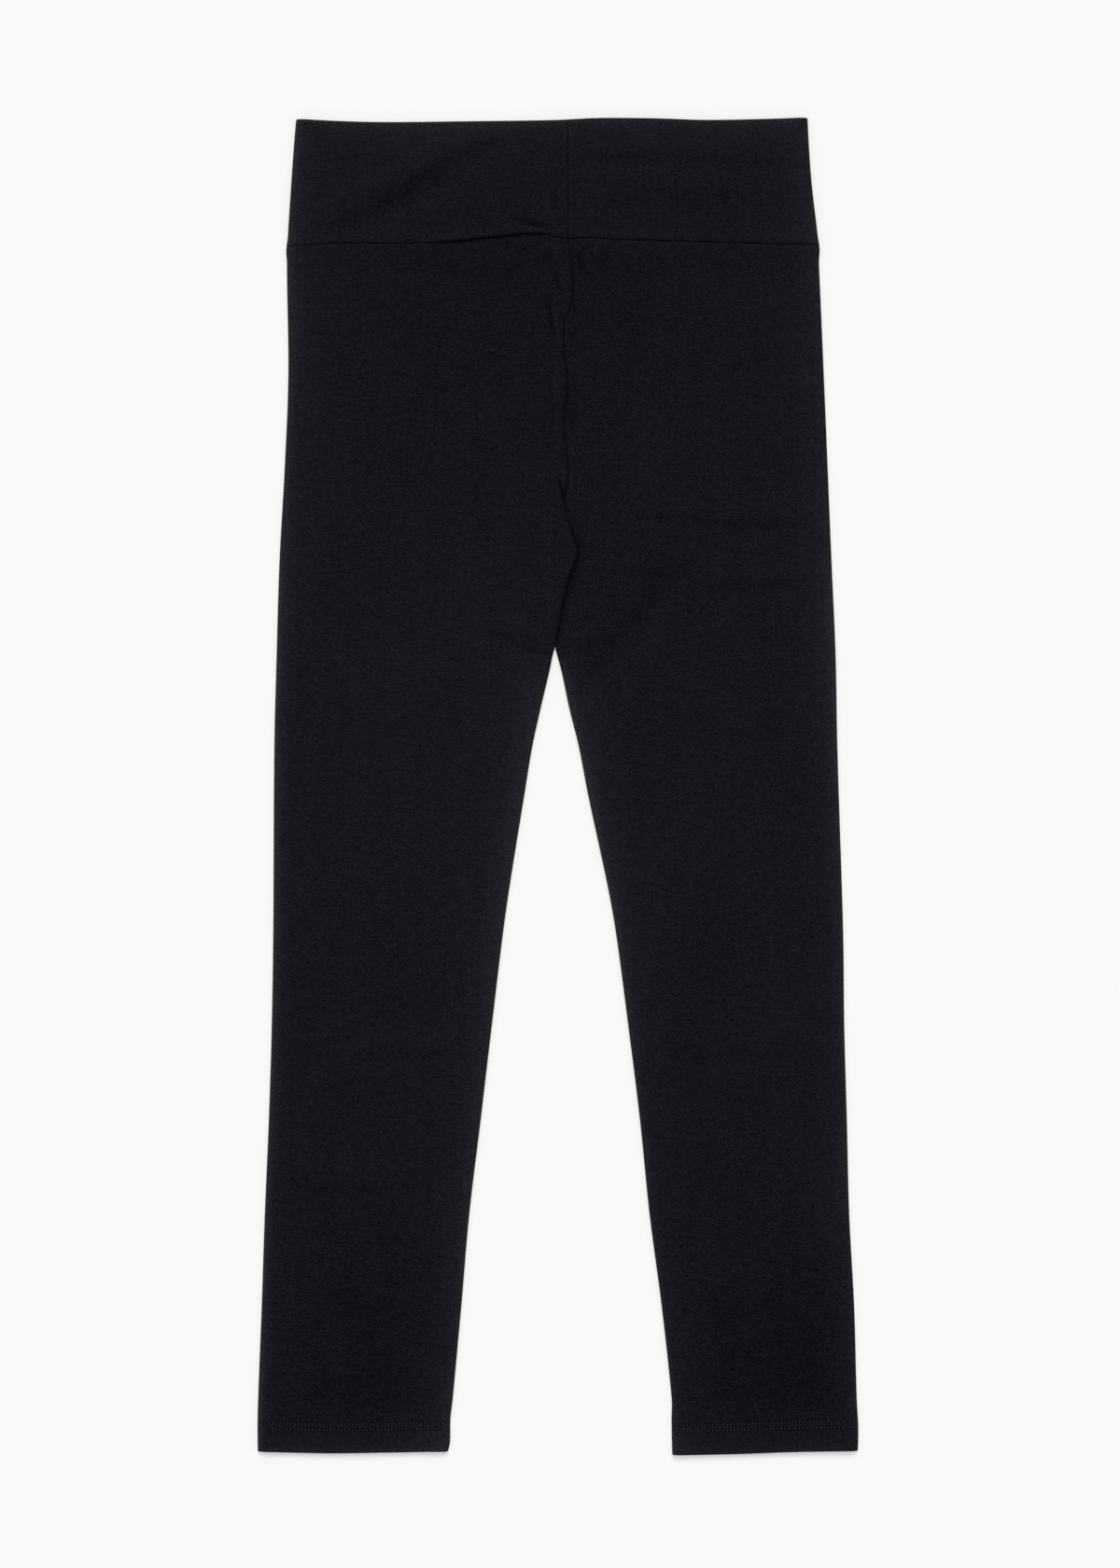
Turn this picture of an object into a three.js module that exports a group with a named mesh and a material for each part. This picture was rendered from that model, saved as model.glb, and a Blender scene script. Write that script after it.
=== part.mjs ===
// A pair of high-waisted jersey leggings, laid flat with the front up.
// X runs across the hips to the photograph's right, +Y towards the waist, and +Z up from the table.
// The two legs and the two halves of the waistband are hollow cloth walls, open where the garment is open.
// "down" is the distance below the highest point of the waist, measured along the garment.

import * as THREE from 'three';

// Driving sizes, in millimetres
const GARMENT_LENGTH = 971.3;
const CROTCH_DOWN = 314.4;
const PARTING_DOWN = 384.2;
const SEAM_GAP = 0.3;
const LEG_WALL = 1.2;
const LEG_LAYER_GAP = 0.6;
const BAND_WALL = 2.2;
const BAND_LAYER_GAP = 0.5;
const LEAST_LAYER_GAP = 0.25;
const HEM_DEPTH = 18.5;
const HEM_WALL = 1.8;
const HEM_STEP = 3;
const HEM_RELIEF_SHARE = 0.4;

// How the cloth turns over at a side fold
const FOLD_TURN = 6.5;
const UNDER_TURN = 2.2;
const UNDER_TURN_INSIDE = 1;
const INSIDE_CREEP = 0.75;
const LEG_TIP = 1.25;
const BAND_TIP = 1.1;
const TUCKED_TURN = 2.6;
const FOLD_PUFF = { lift: 1.1, centre: 6, spread: 9 };
const CROTCH_PUFF = { lift: 1.8, centre: 4, spread: 8 };
const CLOSING_LENGTH = 26;
const OPENING_OUT_LENGTH = 30;

// How the cloth sinks into a seam and rises over the turned-in edges beside it
const CENTRE_SEAM = { dip: 0.9, dipReach: 4, ridge: 0.8, ridgeReach: 10 };
const WAIST_SEAM_LEG = { dip: 0.8, dipReach: 4, ridge: 1.5, ridgeReach: 16 };
const OVER_BACK_SEAM = { clear: 6, fade: 5 };
const WAIST_SEAM_BAND = { dip: 1.5, dipReach: 5, ridge: 0.5, ridgeReach: 12 };
const SEAM_SIDE_BULGE = { reach: 0.9, below: 2, spread: 6 };

// Side folds of the garment, half of the outline: a row for each height where the width changes
const SIDES = [
  { down: 0, right: -190.1, left: 181.2 },
  { down: 23, right: -192, left: 182.4 },
  { down: 50, right: -193.9, left: 184.5 },
  { down: 87, right: -196.2, left: 188.7 },
  { down: 110, right: -196.9, left: 189.8 },
  { down: 186, right: -195.9, left: 193.1 },
  { down: 253, right: -198.5, left: 195.9 },
  { down: 321, right: -202.3, left: 198.7 },
  { down: 389, right: -204.4, left: 201.7 },
  { down: 457, right: -206.1, left: 203 },
  { down: 592, right: -206.9, left: 207.2 },
  { down: 660, right: -208, left: 208 },
  { down: 728, right: -210.1, left: 209.9 },
  { down: 796, right: -213, left: 211.6 },
  { down: 864, right: -215.3, left: 215.2 },
  { down: 931, right: -217.9, left: 217.1 },
  { down: 952, right: -218.3, left: 218.2 },
  { down: 971, right: -218.1, left: 217.8 },
];

// The line where the two halves meet, from the waist down to the place where the legs part
const CENTRE_LINE = [
  { down: 0, front: 7.4, back: 7.5 },
  { down: 88, front: 7.8, back: 7.2 },
  { down: 104, front: 7.8, back: 7 },
  { down: 122, front: 11.2, back: 6.8 },
  { down: 136, front: 9, back: 6.5 },
  { down: 147, front: 4.3, back: 6.3 },
  { down: 173, front: 3.9, back: 6 },
  { down: 190, front: 6.4, back: 6 },
  { down: 205, front: 5.2, back: 6 },
  { down: 226, front: 4.8, back: 6 },
  { down: 254, front: 6.7, back: 6.6 },
  { down: 276, front: 5.2, back: 8 },
  { down: 290, front: 8.6, back: 9.6 },
  { down: 302, front: 10.8, back: 11.6 },
  { down: 314.4, front: 14.7, back: 14.7 },
  { down: 322, front: 13.6, back: 13.6 },
  { down: 336, front: 7.7, back: 7.7 },
  { down: 358, front: 2.8, back: 2.8 },
  { down: 384.2, front: -2.1, back: -2.1 },
];

// Inner folds of the legs below the parting
const INNER_FOLDS = [
  { down: 384.2, right: -2.25, left: -1.95 },
  { down: 389, right: -3.6, left: -0.9 },
  { down: 402.5, right: -6.4, left: 2.7 },
  { down: 429.6, right: -12.8, left: 8.4 },
  { down: 456.8, right: -18.7, left: 15.2 },
  { down: 490.7, right: -24.3, left: 21.7 },
  { down: 558.5, right: -35.2, left: 36.2 },
  { down: 592.4, right: -40, left: 42.2 },
  { down: 660.2, right: -48.2, left: 51.2 },
  { down: 728, right: -56.2, left: 59.6 },
  { down: 795.8, right: -64.4, left: 66.5 },
  { down: 863.6, right: -70.3, left: 75.4 },
  { down: 931.4, right: -76.6, left: 82.7 },
  { down: 945, right: -78.2, left: 82.5 },
  { down: 962, right: -78.5, left: 82.8 },
  { down: 971, right: -80.6, left: 83 },
];

// Edges that run across the garment: how far down each lies, at places across the front and the back
const WAIST_EDGE = [
  { across: -191, front: 1.2, back: 1.2 },
  { across: -134, front: 3.3, back: 3.8 },
  { across: -60, front: 2.7, back: 4 },
  { across: 0, front: 1.8, back: 3.4 },
  { across: 28, front: 0.4, back: 2.8 },
  { across: 70, front: 0.6, back: 2.6 },
  { across: 110, front: 1.8, back: 2.8 },
  { across: 182, front: 0.2, back: 0.2 },
];

const WAIST_SEAM = [
  { across: -197, front: 93.7, back: 93.7 },
  { across: -153, front: 90.9, back: 93 },
  { across: -90, front: 90.6, back: 92.2 },
  { across: -37, front: 85.2, back: 91.6 },
  { across: -14, front: 83.3, back: 91.4 },
  { across: 6, front: 87.8, back: 91.2 },
  { across: 28, front: 86.6, back: 91.2 },
  { across: 54, front: 88.8, back: 91.4 },
  { across: 147, front: 90.9, back: 92 },
  { across: 190, front: 92.6, back: 92.6 },
];

const HEM_EDGE = [
  { across: -219, front: 968.8, back: 968.8 },
  { across: -168, front: 970, back: 969 },
  { across: -119, front: 969.4, back: 968.6 },
  { across: -80, front: 968.9, back: 968.9 },
  { across: 82, front: 971.3, back: 971.3 },
  { across: 133, front: 970.5, back: 969.6 },
  { across: 165, front: 969.3, back: 968.7 },
  { across: 218, front: 968.3, back: 968.3 },
];

// The largest creases of the front: each runs between two places, and a lift below zero is a trough
const CREASES = [
  { x1: -167, down1: 82, x2: -94, down2: 46, spread: 10, lift: -0.28 },
  { x1: -115, down1: 55, x2: -35, down2: 11, spread: 9, lift: -0.28 },
  { x1: -150, down1: 55, x2: -75, down2: 22, spread: 12, lift: 0.7 },
  { x1: -85, down1: 80, x2: -10, down2: 74, spread: 9, lift: 0.8 },
  { x1: 20, down1: 32, x2: 176, down2: 36, spread: 5, lift: -0.25 },
  { x1: 24, down1: 44, x2: 170, down2: 50, spread: 11, lift: 0.5 },
  { x1: -150, down1: 682, x2: -66, down2: 682, spread: 5, lift: -0.32 },
  { x1: -160, down1: 668, x2: -60, down2: 668, spread: 12, lift: 0.4 },
  { x1: 89, down1: 682, x2: 162, down2: 682, spread: 5, lift: -0.32 },
  { x1: 80, down1: 668, x2: 170, down2: 668, spread: 12, lift: 0.4 },
  { x1: -188, down1: 778, x2: -125, down2: 778, spread: 6, lift: -0.3 },
  { x1: 100, down1: 295, x2: 172, down2: 296, spread: 6, lift: -0.3 },
  { x1: 117, down1: 344, x2: 145, down2: 343, spread: 6, lift: -0.3 },
  { x1: 69, down1: 346, x2: 23, down2: 421, spread: 10, lift: -0.33 },
  { x1: 90, down1: 352, x2: 42, down2: 428, spread: 14, lift: 0.7 },
  { x1: -49, down1: 377, x2: -11, down2: 388, spread: 5, lift: -0.3 },
  { x1: -45, down1: 366, x2: -16, down2: 374, spread: 9, lift: 0.7 },
  { x1: 6, down1: 390, x2: 27, down2: 386, spread: 5, lift: -0.3 },
  { x1: -7, down1: 135, x2: -2, down2: 171, spread: 4, lift: 0.6 },
];

const CREASE_END_SHARE = 0.35;

// Steps round a cross-section and along a piece, in millimetres from the nearest edge
const TURN_STEPS = [0, 1, 3, 6.5, 12];
const UNDER_STEPS = [0.6, 2.2];
const FRONT_MIDDLE_STEPS = 8;
const BACK_MIDDLE_STEPS = 4;
const SEAM_STEPS = [0, 1.2, 3.5, 8, 16];
const BAND_MIDDLE_STEPS = 5;
const BAND_MIDDLE_SPAN = { from: 0.1, to: 0.86 };
const WAIST_STEPS = [0, 0.5, 1.8, 6];
const HEM_STEPS = [21.5, 18.5, 9, 2.4, 0.8, 0];
const LEG_ROWS = [
  122, 136, 147, 160, 173, 190, 205, 226, 254, 276, 290, 302, 308,
  CROTCH_DOWN, 322, 336, 347, 358, 372, PARTING_DOWN, 389, 402, 420, 445, 475, 510, 550, 590, 630, 662,
  676, 682, 688, 704, 735, 770, 778, 786, 815, 850, 885, 920, 938,
];

// Share of the wall that is taken off both faces where a free edge is rounded, by distance from the edge
const EDGE_ROUNDING = [
  { reach: 0, share: 0.36 },
  { reach: 0.5, share: 0.12 },
  { reach: 0.8, share: 0.06 },
  { reach: 1.8, share: 0 },
];

const clamp = (value) => Math.min(Math.max(value, 0), 1);
const mix = (a, b, share) => a + (b - a) * share;
const smooth = (value) => clamp(value) ** 2 * (3 - 2 * clamp(value));
const bell = (distance, spread) => Math.exp(-((distance / spread) ** 2));
const quarterRound = (value) => Math.sqrt(1 - (1 - clamp(value)) ** 2);

// Reads a named column of a table at a place between its rows, along a smooth curve
function readTable(table, placeName, place, columnName) {
  const last = table.length - 1;
  if (place <= table[0][placeName]) return table[0][columnName];
  if (place >= table[last][placeName]) return table[last][columnName];
  const next = table.findIndex((row) => row[placeName] > place);
  const a = table[next - 1];
  const b = table[next];
  const before = table[Math.max(next - 2, 0)];
  const after = table[Math.min(next + 1, last)];
  const length = b[placeName] - a[placeName];
  const slopeIn = (b[columnName] - before[columnName]) / (b[placeName] - before[placeName]);
  const slopeOut = (after[columnName] - a[columnName]) / (after[placeName] - a[placeName]);
  const t = (place - a[placeName]) / length;
  const start = (2 * t ** 3 - 3 * t ** 2 + 1) * a[columnName] + (t ** 3 - 2 * t ** 2 + t) * length * slopeIn;
  const end = (3 * t ** 2 - 2 * t ** 3) * b[columnName] + (t ** 3 - t ** 2) * length * slopeOut;
  return start + end;
}

// Distance from a crease's line, and how near its middle the foot of that distance is
function creaseLift(crease, x, down) {
  const runX = crease.x2 - crease.x1;
  const runDown = crease.down2 - crease.down1;
  const squared = runX ** 2 + runDown ** 2;
  const along = clamp(((x - crease.x1) * runX + (down - crease.down1) * runDown) / squared);
  const offX = x - crease.x1 - along * runX;
  const offDown = down - crease.down1 - along * runDown;
  const body = mix(CREASE_END_SHARE, 1, Math.sin(Math.PI * along));
  return crease.lift * body * bell(Math.hypot(offX, offDown), crease.spread);
}

const creasesAt = (x, down) => CREASES.reduce((sum, crease) => sum + creaseLift(crease, x, down), 0);

// The rise and dip beside a seam, by distance from it
const seamRelief = (seam, distance) =>
  seam.ridge * (1 - smooth(distance / seam.ridgeReach)) - seam.dip * (1 - smooth(distance / seam.dipReach));

const puff = (shape, distance) => shape.lift * bell(distance - shape.centre, shape.spread);

function outerEdge(side, down) {
  const direction = side === 'left' ? 1 : -1;
  const seamDown = WAIST_SEAM[side === 'left' ? WAIST_SEAM.length - 1 : 0].front;
  const bulge = SEAM_SIDE_BULGE.reach * bell(down - seamDown - SEAM_SIDE_BULGE.below, SEAM_SIDE_BULGE.spread);
  return readTable(SIDES, 'down', down, side) + direction * bulge;
}

function innerEdge(side, layer, down) {
  if (down > PARTING_DOWN) return readTable(INNER_FOLDS, 'down', down, side);
  const direction = side === 'left' ? 1 : -1;
  return readTable(CENTRE_LINE, 'down', down, layer) + (direction * SEAM_GAP) / 2;
}

// The steps round a piece: across the front from the inner edge, over the side fold and back underneath
function sectionSteps() {
  const steps = [];
  const middle = (layer, count, margin) => {
    for (let i = 1; i < count; i += 1) {
      const share = layer === 'front' ? i / count : 1 - i / count;
      steps.push({ layer, share, margin });
    }
  };
  const turn = TURN_STEPS[TURN_STEPS.length - 1];
  TURN_STEPS.forEach((reach) => steps.push({ layer: 'front', inner: reach }));
  middle('front', FRONT_MIDDLE_STEPS, turn);
  [...TURN_STEPS].reverse().forEach((reach) => steps.push({ layer: 'front', outer: reach }));
  UNDER_STEPS.forEach((reach) => steps.push({ layer: 'back', outer: reach }));
  middle('back', BACK_MIDDLE_STEPS, UNDER_TURN);
  [...UNDER_STEPS].reverse().forEach((reach) => steps.push({ layer: 'back', inner: reach }));
  steps.push({ layer: 'back', inner: 0 });
  return steps;
}

const STEPS = sectionSteps();

// Where a step lies across the piece, with its distances from the inner and the outer edge
function acrossAt(side, step, down) {
  const inner = innerEdge(side, step.layer, down);
  const outer = outerEdge(side, down);
  const direction = Math.sign(outer - inner);
  const width = Math.abs(outer - inner);
  let fromInner = step.inner;
  if (step.outer !== undefined) fromInner = width - step.outer;
  if (step.share !== undefined) fromInner = mix(step.margin, width - step.margin, step.share);
  return { x: inner + direction * fromInner, direction, fromInner, fromOuter: width - fromInner };
}

// How far the inner edge has turned from an open seam into a closed fold
const closureAt = (down) => smooth((down - CROTCH_DOWN + CLOSING_LENGTH) / CLOSING_LENGTH);

// Outside and inside point of the wall at one step, from the piece's wall and height there
function wallPoints(place, layer, down, sizes) {
  const { wall, top, tip, closure, innerTurn } = sizes;
  const { x, direction, fromInner, fromOuter } = place;
  const shiftFrom = (distance) => Math.max(0, wall + (INSIDE_CREEP - 1) * distance);
  const innerShift = shiftFrom(fromInner) * Math.sqrt(closure * (2 - closure));
  const outerShift = shiftFrom(fromOuter);
  const insideX = x + direction * (innerShift - outerShift);
  const insideInner = fromInner + innerShift - wall;
  const insideOuter = fromOuter + outerShift - wall;
  const under = layer === 'back';
  const turns = under ? [UNDER_TURN, UNDER_TURN] : [FOLD_TURN, innerTurn];
  const insideTurns = under ? [UNDER_TURN_INSIDE, UNDER_TURN_INSIDE] : [FOLD_TURN - wall, innerTurn];
  const share = quarterRound(fromOuter / turns[0]) * mix(1, quarterRound(fromInner / turns[1]), closure);
  const insideShare = quarterRound(insideOuter / insideTurns[0])
    * mix(1, quarterRound(insideInner / insideTurns[1]), closure);
  const level = under ? 0 : top;
  const insideLevel = under ? wall : top - wall;
  return {
    outside: [x, down, mix(tip, level, share)],
    inside: [insideX, sizes.downAt(insideX), mix(tip, insideLevel, insideShare)],
  };
}

// Moves both faces of a rounded free edge towards each other
function roundEdge(points, reach) {
  const share = readTable(EDGE_ROUNDING, 'reach', reach, 'share');
  const { outside, inside } = points;
  return {
    outside: outside.map((value, i) => mix(value, inside[i], share)),
    inside: inside.map((value, i) => mix(value, outside[i], share)),
  };
}

function legRows() {
  const rows = SEAM_STEPS.map((reach) => ({ fromSeam: reach + SEAM_GAP / 2 }));
  LEG_ROWS.forEach((down) => rows.push({ down }));
  HEM_STEPS.forEach((reach) => rows.push({ fromHem: reach }));
  return rows;
}

// Finds how far down a row lies at a step: a row beside an edge follows that edge
function rowDown(row, edges, side, step) {
  let down = row.down ?? edges.start;
  for (let pass = 0; pass < 3; pass += 1) {
    const { x } = acrossAt(side, step, down);
    down = edges.place(row, x, step.layer, down);
  }
  return down;
}

function legPlace(row, x, layer) {
  if (row.fromSeam !== undefined) return readTable(WAIST_SEAM, 'across', x, layer) + row.fromSeam;
  if (row.fromHem !== undefined) return readTable(HEM_EDGE, 'across', x, layer) - row.fromHem;
  return row.down;
}

function bandPlace(row, x, layer) {
  const top = readTable(WAIST_EDGE, 'across', x, layer);
  const bottom = readTable(WAIST_SEAM, 'across', x, layer) - SEAM_GAP / 2;
  if (row.fromTop !== undefined) return top + row.fromTop;
  if (row.fromBottom !== undefined) return bottom - row.fromBottom;
  return mix(top, bottom, row.share);
}

// Height of a leg's front face, and the wall's thickness, at one place
function legSizes(side, place, layer, down) {
  const hemLine = readTable(HEM_EDGE, 'across', place.x, layer);
  const hemShare = smooth((down - hemLine + HEM_DEPTH + HEM_STEP) / HEM_STEP);
  const wall = mix(LEG_WALL, HEM_WALL, hemShare);
  const closure = closureAt(down);
  const fromSeam = down - readTable(WAIST_SEAM, 'across', place.x, layer);
  const flatTop = 2 * wall + mix(LEG_LAYER_GAP, LEAST_LAYER_GAP, hemShare);
  const besideCrotch = smooth((PARTING_DOWN + OPENING_OUT_LENGTH - down) / OPENING_OUT_LENGTH) * closure;
  const underNeighbour = side === 'left' ? besideCrotch : 0;
  const overNeighbour = side === 'right' ? besideCrotch : 0;
  let relief = puff(FOLD_PUFF, place.fromOuter);
  relief += closure * (1 - besideCrotch) * puff(FOLD_PUFF, place.fromInner);
  relief += overNeighbour * puff(CROTCH_PUFF, place.fromInner);
  relief += (1 - closure) * seamRelief(CENTRE_SEAM, place.fromInner);
  relief += seamRelief(WAIST_SEAM_LEG, fromSeam);
  relief += creasesAt(place.x, down);
  const backSeam = readTable(WAIST_SEAM, 'across', place.x, 'back');
  const overBand = smooth((backSeam + OVER_BACK_SEAM.clear - down) / OVER_BACK_SEAM.fade);
  const lowestTop = wall + mix(wall, BAND_WALL, overBand) + LEAST_LAYER_GAP;
  const top = Math.max(flatTop + relief * mix(1, HEM_RELIEF_SHARE, hemShare), lowestTop);
  const innerTurn = mix(FOLD_TURN - wall, TUCKED_TURN, underNeighbour);
  return { wall, top, tip: LEG_TIP * wall, closure, innerTurn };
}

function bandSizes(side, place, layer, down) {
  const fromSeam = readTable(WAIST_SEAM, 'across', place.x, layer) - down;
  let relief = puff(FOLD_PUFF, place.fromOuter);
  relief += seamRelief(CENTRE_SEAM, place.fromInner);
  relief += seamRelief(WAIST_SEAM_BAND, fromSeam);
  relief += creasesAt(place.x, down);
  const top = Math.max(2 * BAND_WALL + BAND_LAYER_GAP + relief, 2 * BAND_WALL + LEAST_LAYER_GAP);
  return { wall: BAND_WALL, top, tip: BAND_TIP * BAND_WALL, closure: 0, innerTurn: FOLD_TURN };
}

// Joins a grid of paired points into one closed wall. From the row "closedFrom" on, the last column is
// the first one again, so that the piece is a tube there.
function wallGeometry(grid, closedFrom) {
  const lastRow = grid.length - 1;
  const lastColumn = grid[0].length - 1;
  const positions = [];
  const known = new Map();
  const corner = (face, row, column) => {
    const sharedColumn = row >= closedFrom && column === lastColumn ? 0 : column;
    const key = `${face} ${row} ${sharedColumn}`;
    if (!known.has(key)) {
      const [x, down, z] = grid[row][sharedColumn][face];
      known.set(key, positions.length / 3);
      positions.push(x, GARMENT_LENGTH / 2 - down, z);
    }
    return known.get(key);
  };
  const triangles = [];
  const quad = (a, b, c, d) => triangles.push(a, b, c, a, c, d);
  for (let row = 0; row < lastRow; row += 1) {
    for (let column = 0; column < lastColumn; column += 1) {
      const ring = [[row, column], [row + 1, column], [row + 1, column + 1], [row, column + 1]];
      quad(...ring.map(([r, c]) => corner('outside', r, c)));
      quad(...[...ring].reverse().map(([r, c]) => corner('inside', r, c)));
    }
  }
  const border = (from, to) => {
    quad(corner('outside', ...from), corner('outside', ...to), corner('inside', ...to), corner('inside', ...from));
  };
  for (let column = 0; column < lastColumn; column += 1) {
    border([0, column], [0, column + 1]);
    border([lastRow, column + 1], [lastRow, column]);
  }
  for (let row = 0; row < Math.min(closedFrom, lastRow); row += 1) {
    border([row + 1, 0], [row, 0]);
    border([row, lastColumn], [row + 1, lastColumn]);
  }
  const geometry = new THREE.BufferGeometry();
  geometry.setAttribute('position', new THREE.Float32BufferAttribute(positions, 3));
  geometry.setIndex(triangles);
  return geometry;
}

// Turns every face of a closed mesh about when its volume comes out negative
function faceOutwards(geometry) {
  const index = geometry.index.array;
  const position = geometry.attributes.position;
  const corners = [new THREE.Vector3(), new THREE.Vector3(), new THREE.Vector3()];
  let volume = 0;
  for (let i = 0; i < index.length; i += 3) {
    corners.forEach((corner, k) => corner.fromBufferAttribute(position, index[i + k]));
    volume += corners[0].dot(corners[1].clone().cross(corners[2])) / 6;
  }
  if (volume < 0) {
    for (let i = 0; i < index.length; i += 3) [index[i + 1], index[i + 2]] = [index[i + 2], index[i + 1]];
  }
  geometry.computeVertexNormals();
  return geometry;
}

const jersey = new THREE.MeshStandardMaterial({ color: 0x17171c, roughness: 0.95, metalness: 0 });
const bandJersey = new THREE.MeshStandardMaterial({ color: 0x18181d, roughness: 0.95, metalness: 0 });

// The paired points of one piece: a line of them for each row, and one pair for each step round it
function wallGrid(side, rows, edges, sizesAt) {
  return rows.map((row) => STEPS.map((step) => {
    const down = rowDown(row, edges, side, step);
    const place = acrossAt(side, step, down);
    const sizes = sizesAt(side, place, step.layer, down);
    sizes.downAt = (x) => edges.place(row, x, step.layer, down);
    const points = wallPoints(place, step.layer, down, sizes);
    const freeEdge = row.fromHem ?? row.fromTop;
    return freeEdge === undefined ? points : roundEdge(points, freeEdge);
  }));
}

function legPiece(side) {
  const rows = legRows();
  const edges = { start: GARMENT_LENGTH / 2, place: legPlace };
  const closedFrom = rows.findIndex((row) => row.down === CROTCH_DOWN);
  const grid = wallGrid(side, rows, edges, legSizes);
  const leg = new THREE.Mesh(faceOutwards(wallGeometry(grid, closedFrom)), jersey);
  leg.name = `${side}_leg`;
  return leg;
}

function waistbandHalf(side) {
  const rows = WAIST_STEPS.map((reach) => ({ fromTop: reach }));
  for (let i = 1; i < BAND_MIDDLE_STEPS; i += 1) {
    rows.push({ share: mix(BAND_MIDDLE_SPAN.from, BAND_MIDDLE_SPAN.to, i / BAND_MIDDLE_STEPS) });
  }
  [...SEAM_STEPS].reverse().slice(1).forEach((reach) => rows.push({ fromBottom: reach }));
  const edges = { start: 0, place: bandPlace };
  const grid = wallGrid(side, rows, edges, bandSizes);
  const band = new THREE.Mesh(faceOutwards(wallGeometry(grid, Infinity)), bandJersey);
  band.name = `${side}_waistband`;
  return band;
}

const leggings = new THREE.Group();
leggings.name = 'leggings';
['right', 'left'].forEach((side) => {
  leggings.add(legPiece(side));
  leggings.add(waistbandHalf(side));
});

export default leggings;
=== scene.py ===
# %% [markdown]
# # A pair of leggings, laid flat
# The object is one pair of high-waisted black jersey leggings, lying on a table and seen from
# straight above. The solids that were packed earlier give the true size and place, so they are
# loaded first as a fixed frame. Everything below is drawn over that frame: X runs across the hips,
# +Y towards the waist and +Z up.

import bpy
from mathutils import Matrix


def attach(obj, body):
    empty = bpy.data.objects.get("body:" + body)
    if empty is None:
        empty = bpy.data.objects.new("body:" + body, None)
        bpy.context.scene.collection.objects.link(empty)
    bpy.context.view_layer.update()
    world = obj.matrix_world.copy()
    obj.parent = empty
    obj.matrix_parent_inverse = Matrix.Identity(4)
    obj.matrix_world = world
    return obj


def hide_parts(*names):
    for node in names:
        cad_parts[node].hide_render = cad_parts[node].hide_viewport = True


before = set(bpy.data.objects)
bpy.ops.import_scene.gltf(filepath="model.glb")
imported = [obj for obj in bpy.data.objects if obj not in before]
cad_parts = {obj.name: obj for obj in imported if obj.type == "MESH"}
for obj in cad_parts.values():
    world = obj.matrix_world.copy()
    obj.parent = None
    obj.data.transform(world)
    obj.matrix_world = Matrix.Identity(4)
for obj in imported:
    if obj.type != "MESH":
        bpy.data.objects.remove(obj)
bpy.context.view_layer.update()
print("pieces in the frame:", sorted(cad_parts))

# %% Tools for the rest of the lesson
import math

import bpy
import numpy as np

MM = 0.001
scene = bpy.context.scene
print("sizes are written in mm, and one mm is", MM, "of the scene's metres")

# %% [markdown]
# ## The camera
# A flat lay is photographed from a stand, with the lens straight above the middle of the garment. A
# longer lens than usual keeps the edges from leaning. An orthographic camera would also do, but a
# real lens gives the small change of scale between the raised folds and the table.

# %% Camera over the table
LENS = 85
SENSOR = 36
PICTURE_HEIGHT = 1139  # of table that the upright picture shows, in mm
CLOTH_LEVEL = 2  # height of the side folds, where the outline is, in mm
PICTURE_CENTRE = (1.46, 1.76)  # of the table, in mm from the garment's own centre

camera_data = bpy.data.cameras.new("stand_camera")
camera_data.lens = LENS
camera_data.sensor_width = SENSOR
camera = bpy.data.objects.new("stand_camera", camera_data)
lens_height = PICTURE_HEIGHT * LENS / SENSOR + CLOTH_LEVEL
camera.location = (PICTURE_CENTRE[0] * MM, PICTURE_CENTRE[1] * MM, lens_height * MM)
scene.collection.objects.link(camera)
scene.camera = camera
print("camera stands", round(lens_height), "mm above the table")

# %% [markdown]
# ## The table and the light
# The photograph has a white ground with no edge, and only a short soft shadow below the hems. So
# the table is one white plane under an even white sky. A lamp straight overhead keeps the sides
# free of shadow, and a low lamp beyond the waist gives the shadow below the hems and lights every
# slope that faces the waist. Area lamps could do the same, but suns light the whole length of the
# garment evenly.

# %% White table
WHITE = 0.956  # the ground's brightness in the picture
TABLE_SIZE = 12  # in metres, so that its edge is never seen
TABLE_LEVEL = -0.3

table_mesh = bpy.data.meshes.new("white_table")
half = TABLE_SIZE / 2
table_mesh.from_pydata(
    [(-half, -half, 0), (half, -half, 0), (half, half, 0), (-half, half, 0)], [], [(0, 1, 2, 3)]
)
table = bpy.data.objects.new("white_table", table_mesh)
table.location.z = TABLE_LEVEL * MM
scene.collection.objects.link(table)

table_paint = bpy.data.materials.new("white_table_paint")
table_paint.use_nodes = True
paint = table_paint.node_tree.nodes["Principled BSDF"]
paint.inputs["Base Color"].default_value = (WHITE, WHITE, WHITE, 1)
paint.inputs["Roughness"].default_value = 1
paint.inputs["Specular IOR Level"].default_value = 0
table_mesh.materials.append(table_paint)
print("table laid", TABLE_LEVEL, "mm below the cloth")

# %% Sky and two lamps
SKY_SHARE = 0.28
OVERHEAD_LAMP = {"share": 0.46, "elevation": 90, "softness": 30}
LOW_LAMP = {"share": 0.26, "elevation": 46, "softness": 34}


def sun(name, share, elevation, softness, turn=0):
    """
    A sun beyond the waist, turned to the left by the angle turn. Its share of the light is what it
    gives to a level face.
    """
    lamp_data = bpy.data.lights.new(name, "SUN")
    lamp_data.energy = share * math.pi / math.sin(math.radians(elevation))
    lamp_data.angle = math.radians(softness)
    lamp = bpy.data.objects.new(name, lamp_data)
    lamp.rotation_euler = (math.radians(elevation - 90), 0, math.radians(turn))
    scene.collection.objects.link(lamp)
    return lamp


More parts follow.
